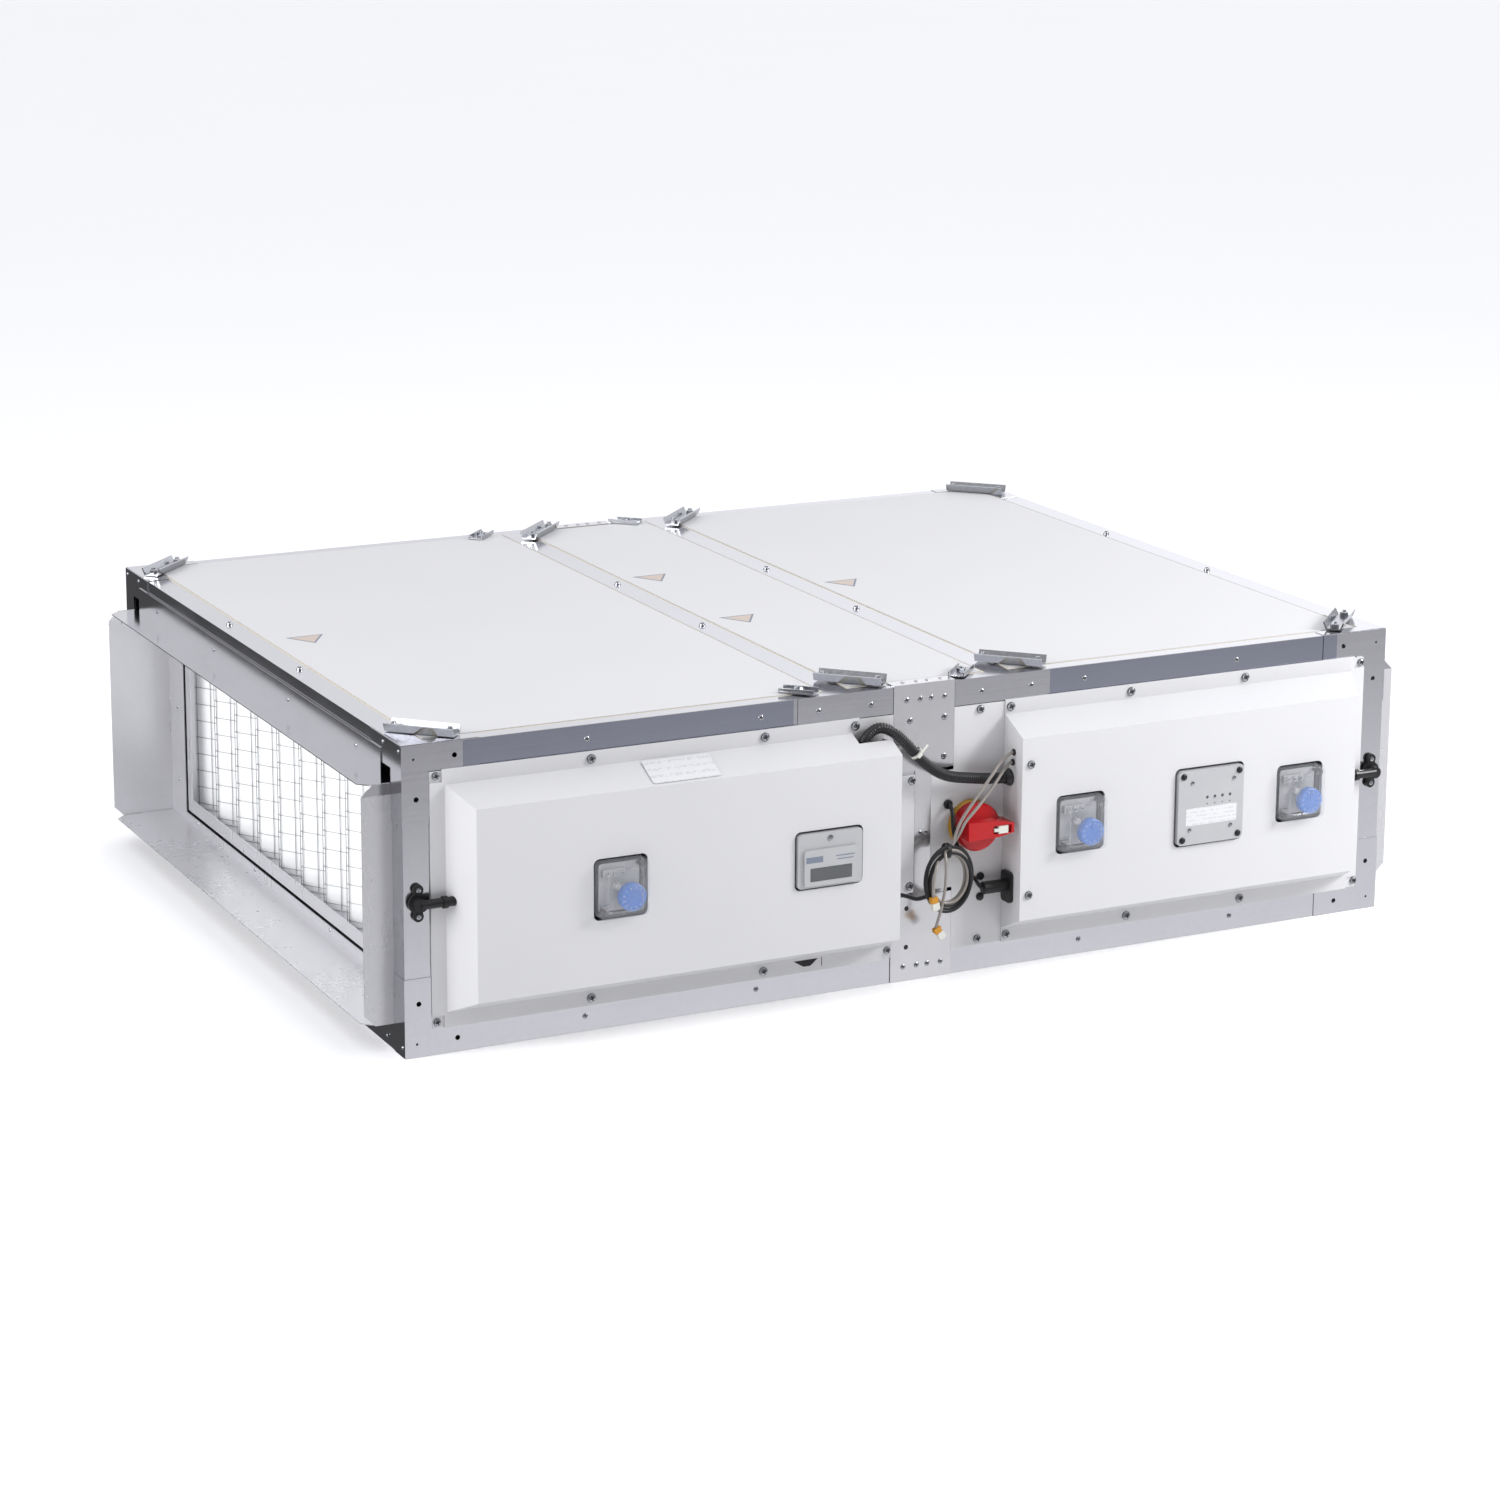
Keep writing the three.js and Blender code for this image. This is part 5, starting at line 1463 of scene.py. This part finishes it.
@dataclass(frozen=True)
class Coil:
    """The wound cables: an oval ring hung in the plane of the front."""

    x: float = 24
    y: float = -30
    z: float = 142
    radius: float = 38.5
    squeeze: float = 0.8

    def point(self, degrees: float, out: float, forward: float) -> Vector:
        """A place on the ring.

        Args:
            degrees: Clockwise from the top, seen from the front.
            out: Millimetres outside the ring's middle line.
            forward: Millimetres in front of it.

        Returns:
            The point.
        """
        angle = math.radians(degrees)
        reach = self.radius + out
        x = self.x + self.squeeze * reach * math.sin(angle)
        return at(x, self.y - forward, self.z + reach * math.cos(angle))

    def wind(self, start: float, end: float, lanes: Sequence[tuple]) -> list:
        """The wound stretch of a cable.

        Args:
            start: The angle where it joins the ring, in degrees.
            end: The angle where it leaves; less than the start if it runs the other way.
            lanes: (out, forward) of each turn's place in the bundle.

        Returns:
            The points.
        """
        steps = max(24, int(abs(end - start) / 8))
        points = []
        for i in range(steps + 1):
            share = i / steps
            lane = share * (len(lanes) - 1)
            first = min(int(lane), len(lanes) - 2) if len(lanes) > 1 else 0
            ease = lane - first
            ease = ease * ease * (3 - 2 * ease)
            low, high = lanes[first], lanes[min(first + 1, len(lanes) - 1)]
            out, forward = (a + ease * (b - a) for a, b in zip(low, high))
            points.append(self.point(start + share * (end - start), out, forward))
        return points


@dataclass
class Cables:
    """The conduit, the black control cable and the two grey sensor cables with their plugs.

    Routes are points off the joint, the front and the floor. A cable joins the coil at the end of its
    lead, takes one lane after the other round it, and leaves it at the start of its tail; grey_joins
    and grey_leaves are those two angles.
    """

    coil: Coil = field(default_factory=Coil)
    conduit_size: float = 15
    black_size: float = 5.5
    grey_size: float = 4.2
    conduit_route: tuple = (
        (-97, -12.5, 310), (-96, -12.5, 326), (-92, -13, 341), (-76, -14, 352), (-58, -18, 348),
        (-37, -23, 329), (-13, -25, 303), (20, -24, 281), (65, -22, 271), (100, -19, 266), (112, -18, 265),
    )
    black_lead: tuple = (
        (37, -2.1, 234), (37.3, -7, 233.6), (37, -15, 227), (35, -20, 214), (35, -23.5, 201),
        (36.5, -27, 187.5),
    )
    black_lanes: tuple = ((6.5, -1.6), (-2.5, 4.4), (7.0, 4.2), (0.5, 0.5))
    black_tail: tuple = (
        (-9.2, -29, 117), (-18, -24, 118), (-29, -18, 121), (-42, -14, 125), (-52, -13, 127), (-61, -13, 127),
    )
    grey_leads: tuple = (
        ((120.2, -28, 301), (115, -28.4, 300.5), (98, -33, 291), (78, -39, 273), (55, -41, 247),
         (38, -40, 224), (31, -37, 206), (27, -33, 189.3)),
        ((120.2, -26, 287), (115, -26.4, 286.6), (101, -33, 278), (82, -40, 261), (60, -43, 239),
         (42.6, -42, 221), (36, -38, 205), (32, -34, 188.7)),
    )
    grey_lanes: tuple = (
        ((-5.6, 1.2), (-5.3, -3.1), (-5.6, 1.2), (-3.0, 4.5)),
        ((-1.1, -5.4), (-0.3, -0.6), (-1.1, -5.4), (1.5, 5.0)),
    )
    grey_joins: tuple = (2, 8)
    grey_leaves: tuple = (-758, -734)
    grey_tails: tuple = (
        ((4, -41, 171.5), (-2, -43.5, 162), (-5.5, -45, 149), (-6.5, -45, 136), (-6, -44.5, 124)),
        ((15, -41, 178.5), (12.5, -44, 168), (12, -45, 150), (10.5, -44.5, 128), (6.5, -42, 103),
         (2, -38, 80)),
    )
    plug_tilts: tuple = (10, 32)

    def build(self) -> None:
        self._conduit()
        self._black_cable()
        for index in range(len(self.grey_leads)):
            self._grey_cable(index)
        self._coil_tie()
        self._conduit_tie()

    def _conduit(self) -> None:
        """The ribbed conduit and its bell mouth."""
        line = smooth(places(self.conduit_route), 0.0011)
        crest = self.conduit_size / 2 * MM
        radii = [crest * (0.91 + 0.09 * math.cos(2 * math.pi * i / 3)) for i in range(len(line))]
        forge = Forge("ribbed_conduit").pipe(line, radii, 20)
        conduit = forge.piece(Kit.CONDUIT, crease=80)
        x, y, z = self.conduit_route[-1]
        mouth = Forge("conduit_bell")
        bell = [(7.6, 0), (8.2, 0), (11.6, 6.4), (11.6, 8.2), (10.4, 8.2), (7.6, 1.6)]
        mouth.ring(bell, Facing.RIGHT.place(at(x + 0.2, y, z)), 24)
        end = mouth.piece(Kit.CONDUIT)
        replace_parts(conduit, "conduit")
        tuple(line[0])
        round(run_length(line), 3)

    def _cord(self, name: str, line: Sequence[Vector], size: float, kit: Kit) -> bpy.types.Object:
        """A round cable as one curve.

        Args:
            name: The piece's name.
            line: Its centre line.
            size: Its diameter in millimetres.
            kit: Its finish.

        Returns:
            The curve object.
        """
        data = bpy.data.curves.new(name, "CURVE")
        data.dimensions = "3D"
        data.bevel_depth = size / 2 * MM
        data.bevel_resolution = 3
        data.use_fill_caps = True
        spline = data.splines.new("POLY")
        spline.points.add(len(line) - 1)
        for point, place in zip(spline.points, line):
            point.co = (*place, 1.0)
        spline.use_smooth = True
        made = add(name, data)
        data.materials.append(kit.material())
        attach(made, CASING)
        log.info("made %s", name)
        return made

    def _black_cable(self) -> None:
        """The black control cable: grommet, over two turns clockwise, and back behind the cover."""
        wound = self.coil.wind(22, 960, self.black_lanes)
        route = places(self.black_lead[:-1]) + wound + places(self.black_tail[1:])
        line = smooth(route, 0.0024)
        cord = self._cord("black_control_cable", line, self.black_size, Kit.RUBBER)
        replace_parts(cord, "black_lead", "black_tail", "cable_coil")
        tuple(line[0])
        round(run_length(line), 3)

    def _grey_cable(self, index: int) -> None:
        """A grey sensor cable: from the cover, round the coil the other way, and down to its plug."""
        wound = self.coil.wind(self.grey_joins[index], self.grey_leaves[index], self.grey_lanes[index])
        route = places(self.grey_leads[index][:-1]) + wound + places(self.grey_tails[index][1:])
        line = smooth(route, 0.0022)
        cord = self._cord(f"grey_sensor_cable_{index + 1}", line, self.grey_size, Kit.SHEATH)
        plug, latch = self._plug(index)
        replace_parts(cord, f"grey_lead_{index + 1}")
        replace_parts(plug, f"grey_tail_{index + 1}")
        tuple(line[0])
        round(run_length(line), 3)

    def _plug(self, index: int) -> tuple:
        """An amber plug housing with its white mate.

        Args:
            index: Which grey cable it ends.

        Returns:
            The white body and the amber latch block.
        """
        place = Facing.FRONT.place(at(*self.grey_tails[index][-1]), self.plug_tilts[index])
        amber = Forge(f"plug_{index + 1}_latch")
        amber.box((-5, -7.5, -3.5), (5, 0.5, 3.5), place)
        amber.box((-6.5, -4, -2.2), (6.5, -1.8, 2.2), place)
        amber.box((-2.5, -10, -4.1), (2.5, -2.5, -3.4), place)
        latch = amber.piece(Kit.AMBER, bevel=0.5)
        white = Forge(f"plug_{index + 1}_body")
        white.box((-4.5, -17, -3.8), (6, -7.6, 3.8), place)
        white.box((-3, -19, -2.4), (4.2, -16.9, 2.4), place)
        return white.piece(Kit.CREAM, bevel=0.5), latch

    def _coil_tie(self) -> None:
        """A black tie round the coil's top."""
        outer = [(10.0 * u, 10.4 * v) for u, v in circle(1.0, 20)]
        inner = [(9.2 * u, 9.6 * v) for u, v in circle(1.0, 20)]
        band = Forge("coil_tie").rim(outer, inner, -2.6, 2.6, Facing.RIGHT.place(self.coil.point(-6, 0, 0)))
        band.piece(Kit.BLACK)

    def _conduit_tie(self) -> None:
        """A pale tie on the conduit, with its head and tail."""
        place = Facing.FRONT.place(at(-24, -24.2, 316), -45)
        tie = Forge("conduit_tie")
        along = place @ Matrix.Rotation(math.radians(90), 4, "Y")
        tie.rim(circle(8.9, 20), circle(8.1, 20), -2.2, 2.2, along)
        tie.box((-2.5, -4, 8.2), (2.5, 3, 12.5), place)
        tie.box((-1.6, 2.8, 9.4), (1.6, 17, 10.6), place)
        tie.piece(Kit.CREAM, bevel=0.3)


# ------------------------------------------------------------------ studio


@dataclass
class Studio:
    """Pale floor, soft light and the camera; its place runs from the frame's front, in metres."""

    azimuth: float = -26.1756
    elevation: float = 12.4598
    roll: float = 0.2471
    place: tuple = (-2.3567, -4.2117, 1.6306)
    lens: float = 92.10
    shift: tuple = (0.0159, -0.1280)

    def build(self) -> None:
        """Makes the camera, floor, world and lights."""
        self._camera()
        self._floor()
        self._world()
        self._softbox("key_light", (2.4, -2.0, 1.8), (0.5, -0.5, 0.2), 1.0, 90)
        self._softbox("left_light", (-3.7, -0.5, 1.4), (-0.7, -0.1, 0.2), 1.8, 80)
        bpy.context.scene.view_settings.view_transform = "Standard"

    def _camera(self) -> None:
        """The camera; it looks along azimuth and elevation, then rolls."""
        data = bpy.data.cameras.new("camera")
        data.lens = self.lens
        data.sensor_width = 36
        data.shift_x, data.shift_y = self.shift
        data.clip_start, data.clip_end = 0.1, 100
        data.dof.use_dof = False
        camera = add("camera", data)
        a, e = math.radians(self.azimuth), math.radians(self.elevation)
        back = Vector((math.sin(a) * math.cos(e), -math.cos(a) * math.cos(e), math.sin(e)))
        turn = back.to_track_quat("Z", "Y").to_matrix().to_4x4()
        x, y, z = self.place
        spin = Matrix.Rotation(math.radians(self.roll), 4, "Z")
        camera.matrix_world = Matrix.Translation((x, FRONT + y, z)) @ turn @ spin
        bpy.context.scene.camera = camera

    def _floor(self) -> None:
        """A large pale floor just under the unit."""
        mesh = bpy.data.meshes.new("floor")
        size, depth = 40, -0.0004
        corners = [(u * size, v * size, depth) for u, v in ((-1, -1), (1, -1), (1, 1), (-1, 1))]
        mesh.from_pydata(corners, [], [(0, 1, 2, 3)])
        floor = add("floor", mesh)
        paint = Paint("pale_floor")
        mottled = paint.blend(paint.noise(1.5, 3), (0.965, 0.965, 0.967), (0.98, 0.98, 0.982))
        paint.set(Base_Color=mottled, Roughness=0.7, Specular_IOR_Level=0.2)
        mesh.materials.append(paint.material)
        floor.visible_glossy = False

    def _world(self) -> None:
        """Studio surroundings: white above and behind, grey in front and dark under the horizon."""
        sky = Sky()
        x, y, z = sky.direction()
        behind = sky.span(y, -0.5, 0.3)
        above = sky.span(z, -0.06, 0.22)
        overhead = sky.span(z, 0.45, 0.85)
        back = sky.between(sky.span(x, 0.32, 0.6), 0.9, 1.3)
        upper = sky.between(overhead, sky.between(behind, 0.28, back), 1.2)
        low_front = sky.between(sky.span(z - 0.2 * x, -0.39, -0.32), 0.95, 0.2)
        low_back = sky.between(sky.span(x, -0.3, 0.3), 0.07, 0.5)
        lower = sky.between(behind, low_front, low_back)
        sky.light(sky.between(above, lower, upper), (0.965, 0.97, 1.0))

    def _softbox(self, name: str, place: Point, target: Point, size: float, power: float) -> None:
        """A square area light.

        Args:
            name: Its name.
            place: Where it stands, in metres.
            target: Where it points.
            size: Its side in metres.
            power: Its power in watts.
        """
        data = bpy.data.lights.new(name, "AREA")
        data.size = size
        data.energy = power
        turn = (Vector(target) - Vector(place)).to_track_quat("-Z", "Y").to_matrix().to_4x4()
        add(name, data).matrix_world = Matrix.Translation(place) @ turn


def main() -> None:
    """Builds every sub-assembly in order."""
    logging.basicConfig(level=logging.WARNING, format="%(message)s")
    Studio().build()
    Cables().build()
    fasteners = Fasteners()
    FrameDressing().build(fasteners)
    Lids().build()
    Covers().build(fasteners)
    for index in (1, 2, 3):
        PressureSwitch(index).build()
    Display().build()
    LampBox().build()
    Isolator().build()
    Taps().build()
    Collars().build(fasteners)
    Insides().build()
    fasteners.finish()


if __name__ == "__main__":
    main()
